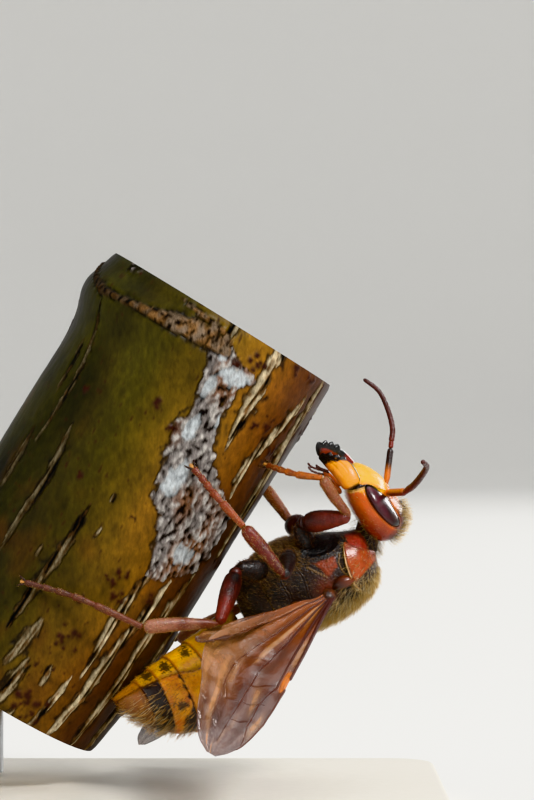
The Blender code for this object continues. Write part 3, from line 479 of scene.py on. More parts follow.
# Studio: camera at the photograph's view, a pale round sweep as floor, soft lights
studio = {
    "cameraPlace": (0.009083, -0.3, 0.035167),
    "cameraTilt": math.radians(90.0),
    "lens": 162.0,
    "sensor": 36.0,
    "clip": (0.01, 10.0),
    "aim": (0.008, 0.0, 0.026),
    "sweepRadius": 1.15,
    "sweepCorner": 0.45,
    "sweepHeight": 0.9,
    "sweepSteps": 96,
    "cornerDegrees": 10,
    "lights": (
        # name, place, size, light that reaches the model
        ("key", (0.55, -0.80, 0.85), 0.30, 2.9),
        ("overhead", (0.0, 0.10, 1.35), 1.50, 1.7),
        ("fill", (-0.85, -0.60, 0.30), 0.80, 0.42),
        ("rim", (0.60, 0.75, 0.40), 0.30, 1.2),
    ),
    "worldColour": "f1f3f5",
    "worldStrength": 0.30,
    "floorColour": "dddcd9",
    "floorRoughness": 0.9,
}


def makeCamera():
    data = bpy.data.cameras.new("camera")
    data.lens = studio["lens"]
    data.sensor_width = studio["sensor"]
    data.clip_start, data.clip_end = studio["clip"]
    camera = bpy.data.objects.new("camera", data)
    camera.location = studio["cameraPlace"]
    camera.rotation_euler = (studio["cameraTilt"], 0.0, 0.0)
    bpy.context.scene.collection.objects.link(camera)
    bpy.context.scene.camera = camera


def makeLights():
    for name, place, size, level in studio["lights"]:
        way = Vector(studio["aim"]) - Vector(place)
        lamp = bpy.data.lights.new(name, "AREA")
        lamp.size = size
        lamp.energy = level * math.pi * way.length_squared
        light = bpy.data.objects.new(name, lamp)
        light.location = place
        light.rotation_euler = way.to_track_quat("-Z", "Y").to_euler()
        bpy.context.scene.collection.objects.link(light)
    surround = bpy.data.worlds.new("pale_studio")
    surround.use_nodes = True
    background = surround.node_tree.nodes["Background"]
    background.inputs["Color"].default_value = linear(studio["worldColour"])
    background.inputs["Strength"].default_value = studio["worldStrength"]
    bpy.context.scene.world = surround
    bpy.context.scene.view_settings.view_transform = "Khronos PBR Neutral"   # colours stay as painted


def makeSweep():
    material = newMaterial("studio_paper", {"Base Color": linear(studio["floorColour"]),
                                            "Roughness": studio["floorRoughness"]})[0]
    radius, corner = studio["sweepRadius"], studio["sweepCorner"]
    profile = [(0.0, 0.0), (radius, 0.0)]
    for degrees in range(studio["cornerDegrees"], 91, studio["cornerDegrees"]):
        turn = math.radians(degrees)
        profile.append((radius + corner * math.sin(turn), corner * (1.0 - math.cos(turn))))
    profile.append((radius + corner, studio["sweepHeight"]))
    form = bmesh.new()
    verts = [form.verts.new((x, 0.0, z)) for x, z in profile]
    edges = [form.edges.new(pair) for pair in zip(verts, verts[1:])]
    bmesh.ops.spin(form, geom=verts + edges, cent=(0.0, 0.0, 0.0), axis=(0.0, 0.0, 1.0),
                   dvec=(0.0, 0.0, 0.0), angle=fullTurn, steps=studio["sweepSteps"], use_merge=True,
                   use_duplicate=False)
    bmesh.ops.remove_doubles(form, verts=form.verts, dist=1e-6)
    bmesh.ops.recalc_face_normals(form, faces=form.faces)
    mesh = bpy.data.meshes.new("studio_sweep")
    form.to_mesh(mesh)
    form.free()
    mesh.materials.append(material)
    mesh.shade_smooth()
    sweep = bpy.data.objects.new("studio_sweep", mesh)
    bpy.context.scene.collection.objects.link(sweep)


makeCamera()
makeLights()
makeSweep()
print("studio done")

# Stand
standLook = {
    "topBevel": 0.6,
    "rodBevel": 0.25,
    "bevelSteps": 4,
    "rimStart": {"stand_base": 0.9, "stand_rod_left": 0.5, "stand_rod_right": 0.5},   # share of the height
    "flat": math.radians(1.0),           # faces that turn less than this become one
    "corner": 1.0,                       # edges that turn more than this, in radians, are bevelled
    "sharp": math.radians(35.0),
    "board": "d9d4c9", "boardPale": "e2ddd3", "steel": "b4b6b8",
}


def makeStand():
    board = makeBoardMaterial()
    steel = makeSteelMaterial()
    for node, material, slot, width in (("stand_base", board, "stand", standLook["topBevel"]),
                                        ("stand_rod_left", steel, "rod", standLook["rodBevel"]),
                                        ("stand_rod_right", steel, "rod", standLook["rodBevel"])):
        form = bmesh.new()
        form.from_mesh(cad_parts[node].data)
        bmesh.ops.remove_doubles(form, verts=form.verts, dist=1e-7)
        bmesh.ops.dissolve_limit(form, angle_limit=standLook["flat"], verts=form.verts, edges=form.edges)
        low = max(vert.co.z for vert in form.verts) * standLook["rimStart"][node]
        rim = [edge for edge in form.edges if len(edge.link_faces) == 2
               and edge.calc_face_angle() > standLook["corner"]
               and min(vert.co.z for vert in edge.verts) > low]
        bmesh.ops.bevel(form, geom=rim, offset=width * millimetre, segments=standLook["bevelSteps"],
                        profile=0.5, affect="EDGES", material=-1)
        mesh = bpy.data.meshes.new(node + "_finish")
        form.to_mesh(mesh)
        form.free()
        addPiece(node + "_finish", mesh, material, slot, (node,))
        mesh.set_sharp_from_angle(angle=standLook["sharp"])
    print("stand done")


makeStand()

# Stem: places on it are given as distance along it and degrees round it, 0 facing the viewer
barkLook = {
    "foot": (-13.86, 3.5, 10.71),
    "lean": math.radians(31.7),
    "radius": 10.6,
    "length": 36.7,
    "scarAlong": 33.3,
    "scarHeight": 1.1,
    "scarWidth": 2.4,
    "scarAround": math.radians(-70.0),
    "bend": 0.9,
    "bendStart": 11.0,
    "sides": 520,
    "rings": 170,
    "endRings": 8,
    "edgeShare": 0.992, "edgeRise": 0.008,    # the cuts are a little narrower than the stem
    "rounding": 0.35,                    # over this length the edge of a cut is rounded
    "pithShare": 0.42,
    "cutDryness": 0.5,
    # grain across and along in millimetres, and where in the noise each starts
    "clouds": {"coarse": (5.0, 9.0, 0.0), "blotch": (2.2, 3.5, 31.0), "wander": (1.6, 4.0, 67.0),
               "speck": (0.55, 0.9, 93.0), "crumb": (0.35, 0.5, 151.0), "fibre": (0.26, 2.6, 211.0)},
    "crowding": 0.38,                    # how much denser the mesh is towards the viewer
    # degrees round, bark colour there: dark towards the left, which is painted shade, and lightest a little
    # right of the middle, which is painted light
    "bark": (
        (-180, "221c08"), (-110, "12110a"), (-60, "17160a"), (-45, "1e1c08"), (-30, "2a2308"),
        (-14, "3a310a"), (0, "523f0d"), (12, "6c4f14"), (24, "80581a"), (35, "7a4c14"), (48, "582f0e"),
        (65, "43220c"), (85, "301a0c"), (120, "241a0a"), (180, "221c08")),
    # degrees round, how bright dry cork and lichen are painted there: painted shade towards the left and
    # painted light a little right of the middle
    "drynessAndLight": ((-180, 0.4), (-60, 0.16), (-30, 0.22), (0, 0.38), (25, 0.78), (45, 0.88), (80, 0.6),
                (180, 0.4)),
    "green": "403c0a", "red": "4e280c", "deep": "2a1008",
    "cork": "c9b896", "corkWarm": "77583a", "slit": "0d0806", "lichen": "7d7672", "lichenPale": "b5afa8",
    "lichenWarm": "805c46", "white": "bcc2c4", "wart": "2c100a", "scar": "6e5e4e",
    "pale": "c9a86a", "pith": "e4d5a8",
    # leaf scar and the flake over it: along, degrees, half width
    "scarLines": (
        ((35.5, -90, 0.15), (34.3, -72, 0.18), (33.5, -56, 0.42), (33.6, -43, 0.24), (33.9, -29, 0.38),
         (34.2, -18, 0.66), (34.6, -7, 0.92), (34.7, 2, 0.85), (34.5, 9, 0.5)),
        ((36.2, -18, 0.08), (36.0, -8, 0.24), (35.7, 4, 0.26), (35.2, 10, 0.12)),
    ),
    # smooth pale crust: along, degrees, its two radii
    "whites": ((33.1, 19, 0.75, 1.35), (31.4, 11, 0.9, 0.5), (33.5, -3, 0.3, 0.6), (34.1, 9, 0.6, 0.4),
               (18.4, 44, 0.8, 1.1), (23.6, 20, 1.5, 0.8), (29.4, 24, 0.6, 0.4), (27.6, 14, 1.0, 0.6)),
    "cracks": (
        # half width, then places as (along, degrees round)
        (0.22, ((33.2, -53), (29.5, -50), (26.0, -46), (20.0, -47))),
        (0.30, ((21.2, -54), (15.1, -51))),
        (0.18, ((29.5, -56), (24.2, -53))),
        (0.34, ((22.9, -34), (17.8, -30), (13.8, -32), (11.0, -31))),
        (0.38, ((18.2, -6), (13.7, -6), (9.3, -8), (5.9, -8))),
        (0.48, ((8.1, 3), (4.9, 2), (3.3, 1))),
        (0.50, ((4.9, 8), (1.4, 9), (-1.0, 7))),
        (0.30, ((0.9, 17), (-1.8, 17))),
        (0.26, ((5.3, 18), (3.3, 20))),
        (0.40, ((17.0, 36), (12.7, 32), (9.6, 32), (5.4, 33))),
        (0.50, ((16.1, 47), (12.8, 45), (8.3, 39), (4.4, 40), (-1.0, 39))),
        (0.52, ((17.9, 60), (15.8, 59), (10.4, 53), (6.9, 55), (3.0, 55), (-1.0, 56))),
        (0.28, ((5.2, 29), (1.5, 29), (-1.0, 28))),
        (0.36, ((38.0, 8), (34.6, 6))),
        (0.55, ((38.0, 30), (34.0, 30), (27.6, 34))),
        (0.40, ((38.0, 35), (35.5, 33))),
        (0.50, ((34.9, 60), (31.5, 56), (27.2, 49), (24.3, 52))),
        (0.55, ((38.0, 69), (32.5, 68), (24.0, 70), (19.0, 71))),
        (0.45, ((13.0, 72), (4.0, 70), (-1.0, 71))),
        (0.16, ((13.2, -15), (12.2, -15))),
        (0.16, ((20.0, 1), (19.0, 1))),
        (0.20, ((17.0, 4), (16.0, 3))),
    ),
    "patch": (
        # along, then the two edges of the lichened bark in degrees round
        (15.4, 36, 38), (16.4, 31, 46), (17.4, 28, 57), (19.0, 23, 62), (20.3, 21, 62), (21.2, 14, 62),
        (22.8, 11, 62), (23.5, 10, 58), (24.5, 10, 43), (26.1, 9, 35), (27.2, 8, 29), (28.7, 10, 27),
        (30.5, 7, 22), (31.5, 6, 21), (32.6, 4, 22), (33.6, 1, 27), (34.0, 0, 22), (34.6, 1, 13),
        (35.3, 4, 7),
    ),
    "warts": (
        # along, degrees round, radius of the group
        (34.9, 23, 0.55), (36.0, 57, 0.40), (34.0, 16, 0.30), (28.2, -5, 0.25), (25.9, -37, 0.25),
        (7.8, 17, 0.95), (14.2, 23, 0.75), (36.2, 44, 0.45), (13.8, 42, 0.40), (1.9, 17, 0.80),
        (0.9, 24, 0.70), (31.0, 48, 0.45), (29.5, 60, 0.35), (10.9, 12, 0.35), (26.9, 6, 0.22),
        (19.6, -16, 0.22), (5.6, -14, 0.30), (3.2, -20, 0.40), (12.6, 26, 0.40), (30.6, 40, 0.30),
    ),
    "knot": (36.6, -50, 0.85),
    "hiddenCracks": 26,
    "hiddenWarts": 30,
    "seed": 12,
    "crackSteps": 8,
    "farAway": 99.0,
}


# the middle of the stem at a place along it, and which way is below
def stemCentre(along):
    below = Vector((math.cos(barkLook["lean"]), 0.0, -math.sin(barkLook["lean"])))
    way = Vector((math.sin(barkLook["lean"]), 0.0, math.cos(barkLook["lean"])))
    bend = barkLook["bend"] * max(0.0, 1.0 - along / barkLook["bendStart"]) ** 2
    return Vector(barkLook["foot"]) + way * along - below * bend, below


def stemRadius(along, around):
    turn = math.cos((around - barkLook["scarAround"]) / 2.0) ** 2
    ridge = barkLook["scarHeight"] * turn * swell(along, barkLook["scarAlong"], barkLook["scarWidth"])
    return barkLook["radius"] + ridge


def stemPoint(along, around, height=0.0):
    centre, below = stemCentre(along)
    out = left * math.cos(around) + below * math.sin(around)
    return centre + out * (stemRadius(along, around) + height)


# the splits of the far side, which run along the stem as those of the near side do, and
# the single warts of each group
def scatterBark():
    draw = np.random.default_rng(barkLook["seed"])
    cracks = []
    for k in range(barkLook["hiddenCracks"]):
        start = draw.uniform(4.0, 38.0)
        degrees = 84.0 + 190.0 * (k + draw.uniform(0.1, 0.9)) / barkLook["hiddenCracks"]
        length = draw.uniform(4.0, 15.0)
        steps = [start - length * share for share in (0.0, 0.35, 0.7, 1.0)]
        line = tuple((place, degrees + draw.uniform(-3.0, 3.0)) for place in steps)
        cracks.append((draw.uniform(0.2, 0.52), line))
    groups = [(draw.uniform(0.5, 36.0), draw.uniform(80.0, 280.0), draw.uniform(0.22, 0.8))
              for _ in range(barkLook["hiddenWarts"])]
    warts = []
    for along, degrees, radius in list(barkLook["warts"]) + groups:
        for _ in range(int(4 + 9 * radius)):
            spread = degrees + math.degrees(draw.normal(0.0, radius * 0.7) / barkLook["radius"])
            warts.append((along + draw.normal(0.0, radius * 0.7), spread,
                          draw.uniform(0.12, 0.24 + 0.1 * radius)))
    return cracks, warts


# the drum of the stem: its form, then for each point the place along it, the angle round
# it and the share of the radius. The points sit closer together on the viewer's side.
def makeDrum():
    look = barkLook
    spots = []

    def place(along, angle, radial):
        spots.append((along * look["length"], angle - look["crowding"] * math.sin(angle), radial))
        return Vector((len(spots) - 1, 0.0, 0.0))
    form = wrapDrum(look["sides"], look["rings"], look["endRings"], place)
    order = [round(vert.co.x) for vert in form.verts]
    return form, np.array(spots)[order].T


# wandering noises, one value a point
def barkClouds(along, angle):
    clouds = {}
    for name, (across, lengthways, offset) in barkLook["clouds"].items():
        clouds[name] = np.array([noise.noise(Vector((math.cos(a) * barkLook["radius"] / across,
                                                     math.sin(a) * barkLook["radius"] / across,
                                                     s / lengthways + offset)))
                                 for s, a in zip(along, angle)])
    return clouds


# how far round the bark each point is from a direction in degrees, the short way
def arcAway(arc, degrees):
    circumference = fullTurn * barkLook["radius"]
    across = arc - math.radians(degrees) * barkLook["radius"]
    return (across + circumference / 2.0) % circumference - circumference / 2.0


# distance to a line of (along, degrees, half width), as a multiple of its half width
def lineAway(along, arc, rows):
    best = np.full(len(along), barkLook["farAway"])
    for (s0, d0, w0), (s1, d1, w1) in zip(rows, rows[1:]):
        ds, da = s1 - s0, math.radians(d1 - d0) * barkLook["radius"]
        across = arcAway(arc, d0)
        t = np.clip(((along - s0) * ds + across * da) / (ds * ds + da * da), 0.0, 1.0)
        away = np.hypot(along - s0 - t * ds, across - t * da)
        best = np.minimum(best, away / (w0 + (w1 - w0) * t))
    return best


# distance to a spot, as a multiple of its two radii
def spotAway(along, arc, place, degrees, radiusAlong, radiusAcross):
    return np.hypot((along - place) / radiusAlong, arcAway(arc, degrees) / radiusAcross)


# distance to the nearest split; each is widest in the middle and runs out to both ends
def crackAway(along, arc, cracks):
    nearest = np.full(len(along), barkLook["farAway"])
    for halfWidth, line in cracks:
        heights, turns = zip(*line)
        rows = []
        for share in np.linspace(0.0, 1.0, barkLook["crackSteps"]):
            height = heights[0] + (heights[-1] - heights[0]) * share
            turn = float(np.interp(height, heights[::-1], turns[::-1]))
            rows.append((height, turn, halfWidth * max(0.10, math.sin(math.pi * share) ** 0.45)))
        nearest = np.minimum(nearest, lineAway(along, arc, rows))
    return nearest


# how far a point lies inside the lichened bark, less than nothing outside it
def patchInset(along, arc, clouds):
    lows, first, second = np.array(barkLook["patch"]).T
    first = np.interp(along, lows, np.radians(first) * barkLook["radius"])
    second = np.interp(along, lows, np.radians(second) * barkLook["radius"])
    inset = np.minimum(arc - first, second - arc) + clouds["blotch"] * 0.7
    inset = inset + clouds["speck"] * 0.5 + clouds["crumb"] * 0.25
    return np.where((along < lows[0]) | (along > lows[-1]), -9.0, inset)


# how much of each feature of the bark there is at each point, from 0 to 1
def barkMasks(along, arc, clouds):
    look = barkLook
    speck, crumb = clouds["speck"], clouds["crumb"]
    hidden, warts = scatterBark()
    crack = crackAway(along, arc, list(look["cracks"]) + hidden)
    crack = crack * (1.0 + 0.55 * speck + 0.35 * crumb) + 0.25 * clouds["wander"]
    wedge = np.minimum(lineAway(along, arc, look["scarLines"][0]), lineAway(along, arc, look["scarLines"][1]))
    wedge = wedge * (1.0 + 0.3 * speck + 0.2 * crumb)
    inset = patchInset(along, arc, clouds)
    white, wart = np.zeros(len(along)), np.zeros(len(along))
    for row in look["whites"]:
        away = spotAway(along, arc, *row)
        white = np.maximum(white, easeRows(1.15, 0.8, away + 0.5 * speck + 0.3 * crumb))
    for height, turn, radius in warts:
        wart = np.maximum(wart, np.exp(-spotAway(along, arc, height, turn, radius, radius) ** 2.5))
    knot = spotAway(along, arc, *look["knot"], look["knot"][2])
    return {
        "cork": easeRows(1.05, 0.75, crack),
        "scar": easeRows(1.05, 0.8, wedge),
        "patch": easeRows(-0.10, 0.12, inset),
        "white": white,
        "wart": wart,
        "knot": easeRows(1.1, 0.7, knot + 0.4 * speck),
        "outline": np.maximum.reduce([np.exp(-((crack - 1.08) / 0.26) ** 2),
                                      np.exp(-((wedge - 1.08) / 0.2) ** 2),
                                      np.exp(-((inset + 0.10) / 0.13) ** 2)]),
    }


# height over the smooth stem in millimetres
def barkRelief(clouds, masks):
    speck, crumb, fibre = clouds["speck"], clouds["crumb"], clouds["fibre"]
    crust = np.clip(0.5 + 1.6 * crumb + 0.8 * speck, 0.0, 1.0)
    return (0.16 * clouds["coarse"] + 0.02 * speck + masks["cork"] * (0.08 + 0.16 * fibre)
            - 0.11 * masks["outline"] + masks["patch"] * (0.04 + 0.14 * crust) * (1.0 - 0.6 * masks["white"])
            + 0.13 * masks["wart"] + masks["scar"] * (0.12 + 0.08 * fibre + 0.06 * speck)
            + masks["knot"] * (0.15 + 0.3 * crumb))


def barkTone(code):
    return np.array(linear(barkLook[code])[:3])


def layOver(base, code, share):
    return base + (barkTone(code) - base) * np.clip(share, 0.0, 1.0)[:, None]


# the live bark: its colour goes by the direction it faces, with painted shade towards the left and painted
# light a little right of the middle, then come blotches and specks
def liveBark(along, degrees, clouds):
    look = barkLook
    coarse, blotch, speck, crumb = (clouds[name] for name in ("coarse", "blotch", "speck", "crumb"))
    stops = np.array([row[0] for row in look["bark"]])
    shades = np.array([linear(row[1])[:3] for row in look["bark"]])
    wandered = np.clip(degrees + 9.0 * coarse + 5.0 * blotch, -180.0, 180.0)
    colour = np.stack([np.interp(wandered, stops, shades[:, k]) for k in range(3)], axis=1)
    near = easeRows(110.0, 60.0, np.abs(degrees))
    colour = layOver(colour, "green", (coarse * 1.2 + 0.3) * easeRows(20.0, -20.0, degrees) * near * 0.6)
    colour = layOver(colour, "red", (blotch - 0.10) * 1.3 * easeRows(30.0, 8.0, along))
    colour = colour * (1.0 + 0.30 * blotch + 0.35 * speck + 0.25 * crumb)[:, None]
    colour = colour * (0.52 + 0.48 * easeRows(2.0, 30.0, along))[:, None]
    return layOver(colour, "deep", (crumb - 0.42) * 5.0 * 0.6)


def barkColour(along, degrees, clouds, masks):
    look = barkLook
    blotch, speck, crumb, fibre = (clouds[name] for name in ("blotch", "speck", "crumb", "fibre"))
    plain = np.ones((len(along), 1))
    # painted light and shade on the cork and lichen, by the direction the bark faces
    stops, lights = np.array(look["drynessAndLight"]).T
    bright = np.interp(degrees, stops, lights)
    dry = layOver(plain * barkTone("corkWarm"), "cork", 0.45 + 2.4 * fibre + 0.8 * crumb)
    dry = layOver(dry, "slit", (-fibre - 0.10 + 0.3 * crumb) * 5.0) * (bright * (1.0 + 0.4 * speck))[:, None]
    crusted = layOver(plain * barkTone("lichen"), "lichenWarm", (0.25 + 2.0 * blotch) * 0.8)
    crusted = layOver(crusted, "lichenPale", (crumb + 0.5 * speck - 0.10) * 3.0)
    crusted = layOver(crusted, "slit", (-crumb - 0.6 * speck - 0.20) * 4.0)
    crusted = layOver(crusted, "white", masks["white"] * (0.95 + 0.6 * crumb))
    crusted = crusted * (0.45 + 0.55 * bright)[:, None]
    woody = layOver(plain * barkTone("scar"), "corkWarm", 0.5 + 2.0 * speck)
    woody = layOver(woody, "slit", (-crumb - 0.15) * 4.0)
    # the leaf scar is painted darker towards the left: painted shade
    woody = woody * (0.25 + 0.75 * easeRows(-60.0, -5.0, degrees))[:, None]
    colour = liveBark(along, degrees, clouds)
    for cover, mask in ((dry, "cork"), (crusted, "patch"), (woody, "scar")):
        colour = colour + (cover - colour) * masks[mask][:, None]
    for code, share in (("slit", masks["outline"] * 0.9), ("wart", masks["wart"] * 1.2),
                        ("slit", masks["knot"] * 0.8), ("lichen", masks["knot"] * (crumb - 0.1) * 3.0)):
        colour = layOver(colour, code, share)
    return np.clip(colour, 0.002, 1.0)


# the cut faces: pale wood in rings round the pith
def cutColour(radial):
    plain = np.ones((len(radial), 1))
    colour = layOver(plain * barkTone("pale"), "pith", (barkLook["pithShare"] - radial) * 30.0)
    colour = layOver(colour, "corkWarm", (0.35 + 0.5 * np.sin(radial * 60.0)) * 0.35)
    return layOver(colour, "green", (radial - 0.93) * 40.0)


def makeStem():
    look = barkLook
    form, (along, angle, radial) = makeDrum()
    arc, degrees = angle * look["radius"], np.degrees(angle)
    clouds = barkClouds(along, angle)
    masks = barkMasks(along, arc, clouds)
    relief = barkRelief(clouds, masks)
    face = radial < 0.999
    colour = np.where(face[:, None], cutColour(radial), barkColour(along, degrees, clouds, masks))
    dry = np.maximum.reduce([masks["cork"], masks["patch"] * (1.0 - 0.5 * masks["white"]), masks["scar"],
                             masks["knot"]])
    dry = np.where(face, look["cutDryness"], np.clip(dry, 0.0, 1.0))
    markings = form.verts.layers.float_color["markings"]
    drynessAndLight = form.verts.layers.float.new("drynessAndLight")
    for k, vert in enumerate(form.verts):
        s, a, r = float(along[k]), float(angle[k]), float(radial[k])
        centre, below = stemCentre(s)
        out = left * math.cos(a) + below * math.sin(a)
        if face[k]:
            vert.co = centre + out * stemRadius(s, a) * r * look["edgeShare"]
        else:
            fade = min(1.0, s / look["rounding"], (look["length"] - s) / look["rounding"])
            width = stemRadius(s, a) * (look["edgeShare"] + look["edgeRise"] * fade)
            vert.co = centre + out * (width + relief[k] * fade)
        vert[markings] = (*colour[k], 1.0)
        vert[drynessAndLight] = float(dry[k])
    finishPiece("stem_bark", form, world, makeBarkMaterial(), "bark", ("perch_stem",), sharp=50.0)
    print("stem done")


makeStem()

# Thorax: x ahead, y to her left, z towards her back
thoraxLook = {
    "power": 2.3,
    # along, belly edge, back edge, half width
    "shape": (
        (-6.5, -0.8, 1.4, 1.1), (-5.4, -2.4, 2.6, 2.4), (-4.0, -3.3, 3.4, 3.2), (-2.0, -3.8, 3.9, 3.6),
        (0.0, -3.6, 4.0, 3.85), (2.0, -3.0, 3.8, 3.8), (4.0, -2.2, 3.0, 3.4), (5.0, -1.9, 2.0, 2.6),
        (5.6, -1.5, 0.7, 1.3)),
    "middle": (-4.3, 5.55),
    "rear": (-6.5, -3.85),
    "sides": 200,
    "sutures": (
        ((0.07, -0.85), (0.7, -0.1), (1.23, 0.5)),
        ((2.95, -0.75), (2.62, -0.2), (2.58, 0.5), (2.85, 1.2)),
        ((-0.6, -3.3), (-0.9, -1.6), (-0.5, -0.2), (-0.75, 1.5)),
        ((-2.3, -3.4), (-2.45, -1.2), (-2.2, 0.8), (-2.6, 2.2)),
        ((0.2, 1.2), (1.3, 1.35), (2.2, 1.1)),
    ),
    "redSpot": ((0.6, -0.93), (2.6, -0.69), (2.36, 0.17), (1.35, 0.51)),
    "pit": (1.86, -2.0, 1.65, 0.72),
    "black": "0d0806", "brown": "1f0f08", "red": "7e3010", "glossAndPitShade": "050404", "seam": "9a7444",
    "scutellum": "4a1c0c", "collar": "8f260e",
}
pronotumLook = {
    # degrees from the middle of the back, rear edge, front edge
    "edges": ((0, 3.95, 5.35), (35, 3.55, 5.45), (65, 2.98, 5.55), (90, 3.02, 5.2), (110, 3.3, 4.45),
              (126, 3.6, 3.85)),
    "reach": 126.0,
    "thickness": 0.16,
    "height": 0.10,
    "orange": "a6440c", "red": "6e1c08", "dark": "2c130a", "rim": "6c1a08", "line": "dcae78",
}


def bodySection(table, along, angle, power, grow=0.0):
    low, high, half = sample(table, along)[:3]
    middle, rise = (low + high) / 2.0, (high - low) / 2.0 + grow
    up = middle + rise * signedPower(math.sin(angle), 2.0 / power)
    side = (half + grow) * signedPower(math.cos(angle), 2.0 / power)
    return Vector((along, side, up))


# how much a point lies inside an outline of straight edges, in millimetres
def insideOutline(x, z, outline):
    inside = False
    for (x0, z0), (x1, z1) in zip(outline, outline[1:] + outline[:1]):
        if (z0 > z) != (z1 > z) and x < (x1 - x0) * (z - z0) / (z1 - z0) + x0:
            inside = not inside
    away = lineDistance(x, z, outline + outline[:1])
    return away if inside else -away


def onFlank(point):
    return ease(1.6, 2.6, abs(point.y))


def thoraxRelief(point):
    x, y, z = point
    back = ease(1.8, 2.8, z)
    relief = 0.0
    relief -= 0.07 * swell(y, 0.0, 0.09) * back * ease(-2.0, -1.6, x) * ease(3.6, 2.6, x)
    relief -= 0.05 * swell(abs(y), 1.25, 0.08) * back * ease(-1.8, -1.2, x) * ease(2.8, 1.6, x)
    shield = back * ease(2.5, 1.7, abs(y)) * ease(-3.35, -3.1, x) * ease(-2.0, -2.25, x)
    relief += 0.24 * shield
    relief -= 0.14 * swell(x, -2.05, 0.10) * back
    relief -= 0.12 * swell(x, -3.45, 0.09) * back
    flank = onFlank(point)
    if flank > 0.0:
        for line in thoraxLook["sutures"]:
            away = lineDistance(x, z, line)
            relief += flank * (0.03 * swell(away, 0.0, 0.05) - 0.06 * swell(away, 0.11, 0.05))
        cx, cz, rx, rz = thoraxLook["pit"]
        hollow = math.hypot((x - cx) / rx, (z - cz) / rz)
        relief -= 0.22 * ease(1.05, 0.6, hollow)
        spot = insideOutline(x, z, list(thoraxLook["redSpot"]))
        relief += 0.08 * ease(-0.05, 0.3, spot) * flank
    relief += 0.035 * grain(point, 0.8) + 0.012 * grain(point, 0.22)
    return relief


def thoraxColour(point):
    x, y, z = point
    look = thoraxLook
    colour = mixColours(look["black"], look["brown"], 0.5 + 1.3 * grain(point, 1.4))
    back = ease(1.6, 2.8, z)
    shield = back * ease(2.4, 1.8, abs(y)) * ease(-3.4, -3.2, x) * ease(-2.0, -2.2, x)
    colour = mixColours(colour, look["scutellum"], shield)
    colour = mixColours(colour, look["scutellum"], 0.5 * back * swell(x, -3.7, 0.3))
    flank = onFlank(point)
    if flank > 0.0:
        cx, cz, rx, rz = look["pit"]
        hollow = math.hypot((x - cx) / rx, (z - cz) / rz)
        # the pit is painted near-black: painted shade of the femur that lies over it
        colour = mixColours(colour, look["glossAndPitShade"], ease(1.3, 1.0, hollow))
        spot = insideOutline(x, z, list(look["redSpot"])) + 0.2 * grain(point, 0.5)
        colour = mixColours(colour, look["red"], ease(-0.10, 0.16, spot) * flank)
        colour = mixColours(colour, look["red"], 0.55 * swell(math.hypot(x - 0.9, z - 1.4), 0.0, 0.9) * flank)
        for line in look["sutures"][:2]:
            seam = 0.8 * swell(lineDistance(x, z, line), 0.0, 0.045) * flank
            colour = mixColours(colour, look["seam"], seam)
    front = sample(pronotumLook["edges"], backDegrees(point))[1]
    colour = mixColours(colour, look["collar"], ease(0.05, 0.2, x - front) * ease(-2.4, -1.2, z))
    return colour


# degrees from the middle of the back, by her left or right side
def backDegrees(point):
    low, high, half = sample(thoraxLook["shape"], point.x)
    middle, rise = (low + high) / 2.0, (high - low) / 2.0
    return math.degrees(math.atan2(abs(point.y) / half, (point.z - middle) / rise))


def makeThorax():
    look = thoraxLook
    for name, (start, end), rings, nodes in (("mesothorax", look["middle"], 190, ("thorax",)),
                                             ("propodeum_shell", look["rear"], 70, ("propodeum",))):
        def place(share, angle, start=start, end=end):
            along = start + (end - start) * share
            point = bodySection(look["shape"], along, angle, look["power"])
            low, high, half = sample(look["shape"], along)
            centre = Vector((along, 0.0, (low + high) / 2.0))
            return centre + (point - centre) * roundEnds(share, 0.05, 0.05)
        form = wrapBall(look["sides"], rings, place)
        sculpt(form, thoraxRelief)
        paint(form, thoraxColour)
        finishPiece(name, form, thoraxFrame, rough, "shell_dark", nodes)
    makePronotum()
    makeTegulae()
    print("thorax done")


# The saddle plate in front: a strip bent over the back, from flank to flank
def makePronotum():
    look = pronotumLook
    form = bmesh.new()
    bmesh.ops.create_grid(form, x_segments=150, y_segments=44, size=1.0)
    for vert in form.verts:
        degrees = vert.co.x * look["reach"]
        share = (vert.co.y + 1.0) / 2.0
        rear, front = sample(look["edges"], abs(degrees))
        along = rear + (front - rear) * share
        angle = math.radians(90.0 - degrees)
        lift = look["height"] + 0.10 * swell(share, 0.0, 0.10) + 0.10 * swell(share, 1.0, 0.10)
        vert.co = bodySection(thoraxLook["shape"], along, angle, thoraxLook["power"], lift)
    bmesh.ops.recalc_face_normals(form, faces=form.faces)
    form.normal_update()
    bmesh.ops.solidify(form, geom=form.faces, thickness=look["thickness"])
    bmesh.ops.recalc_face_normals(form, faces=form.faces)

    def colourAt(point):
        degrees = backDegrees(point)
        rear, front = sample(look["edges"], degrees)
        share = (point.x - rear) / max(front - rear, 0.1)
        border = 1.88 + (point.x - 2.99) * (0.79 - 1.88) / (5.67 - 2.99)   # upper edge of the orange
        colour = mixColours(look["orange"], look["red"],
                            0.55 * ease(1.6, -1.2, point.z) + 0.5 * grain(point, 0.7))
        colour = mixColours(colour, look["dark"], ease(-0.02, 0.22, point.z - border))
        colour = mixColours(colour, look["dark"], 0.8 * ease(0.14, 0.08, share))
        line = 0.9 * ease(0.07, 0.04, share) * ease(40.0, 55.0, degrees)
        colour = mixColours(colour, look["line"], line)
        return mixColours(colour, look["rim"], 0.7 * ease(0.93, 0.99, share))
    paint(form, colourAt)
    finishPiece("pronotum_plate", form, thoraxFrame, polished, "shell_red", ("pronotum",))


# The scales over the wing joints
tegulaLook = {
    "centre": (2.25, 1.45),              # along and up the thorax
    "half": (1.0, 0.62, 0.55),           # along, outwards and up
    "widest": 2.3,
    "sunk": 0.15,
    "curl": 0.18,
    "front": "6a2c0e", "rear": "2c1008",
}


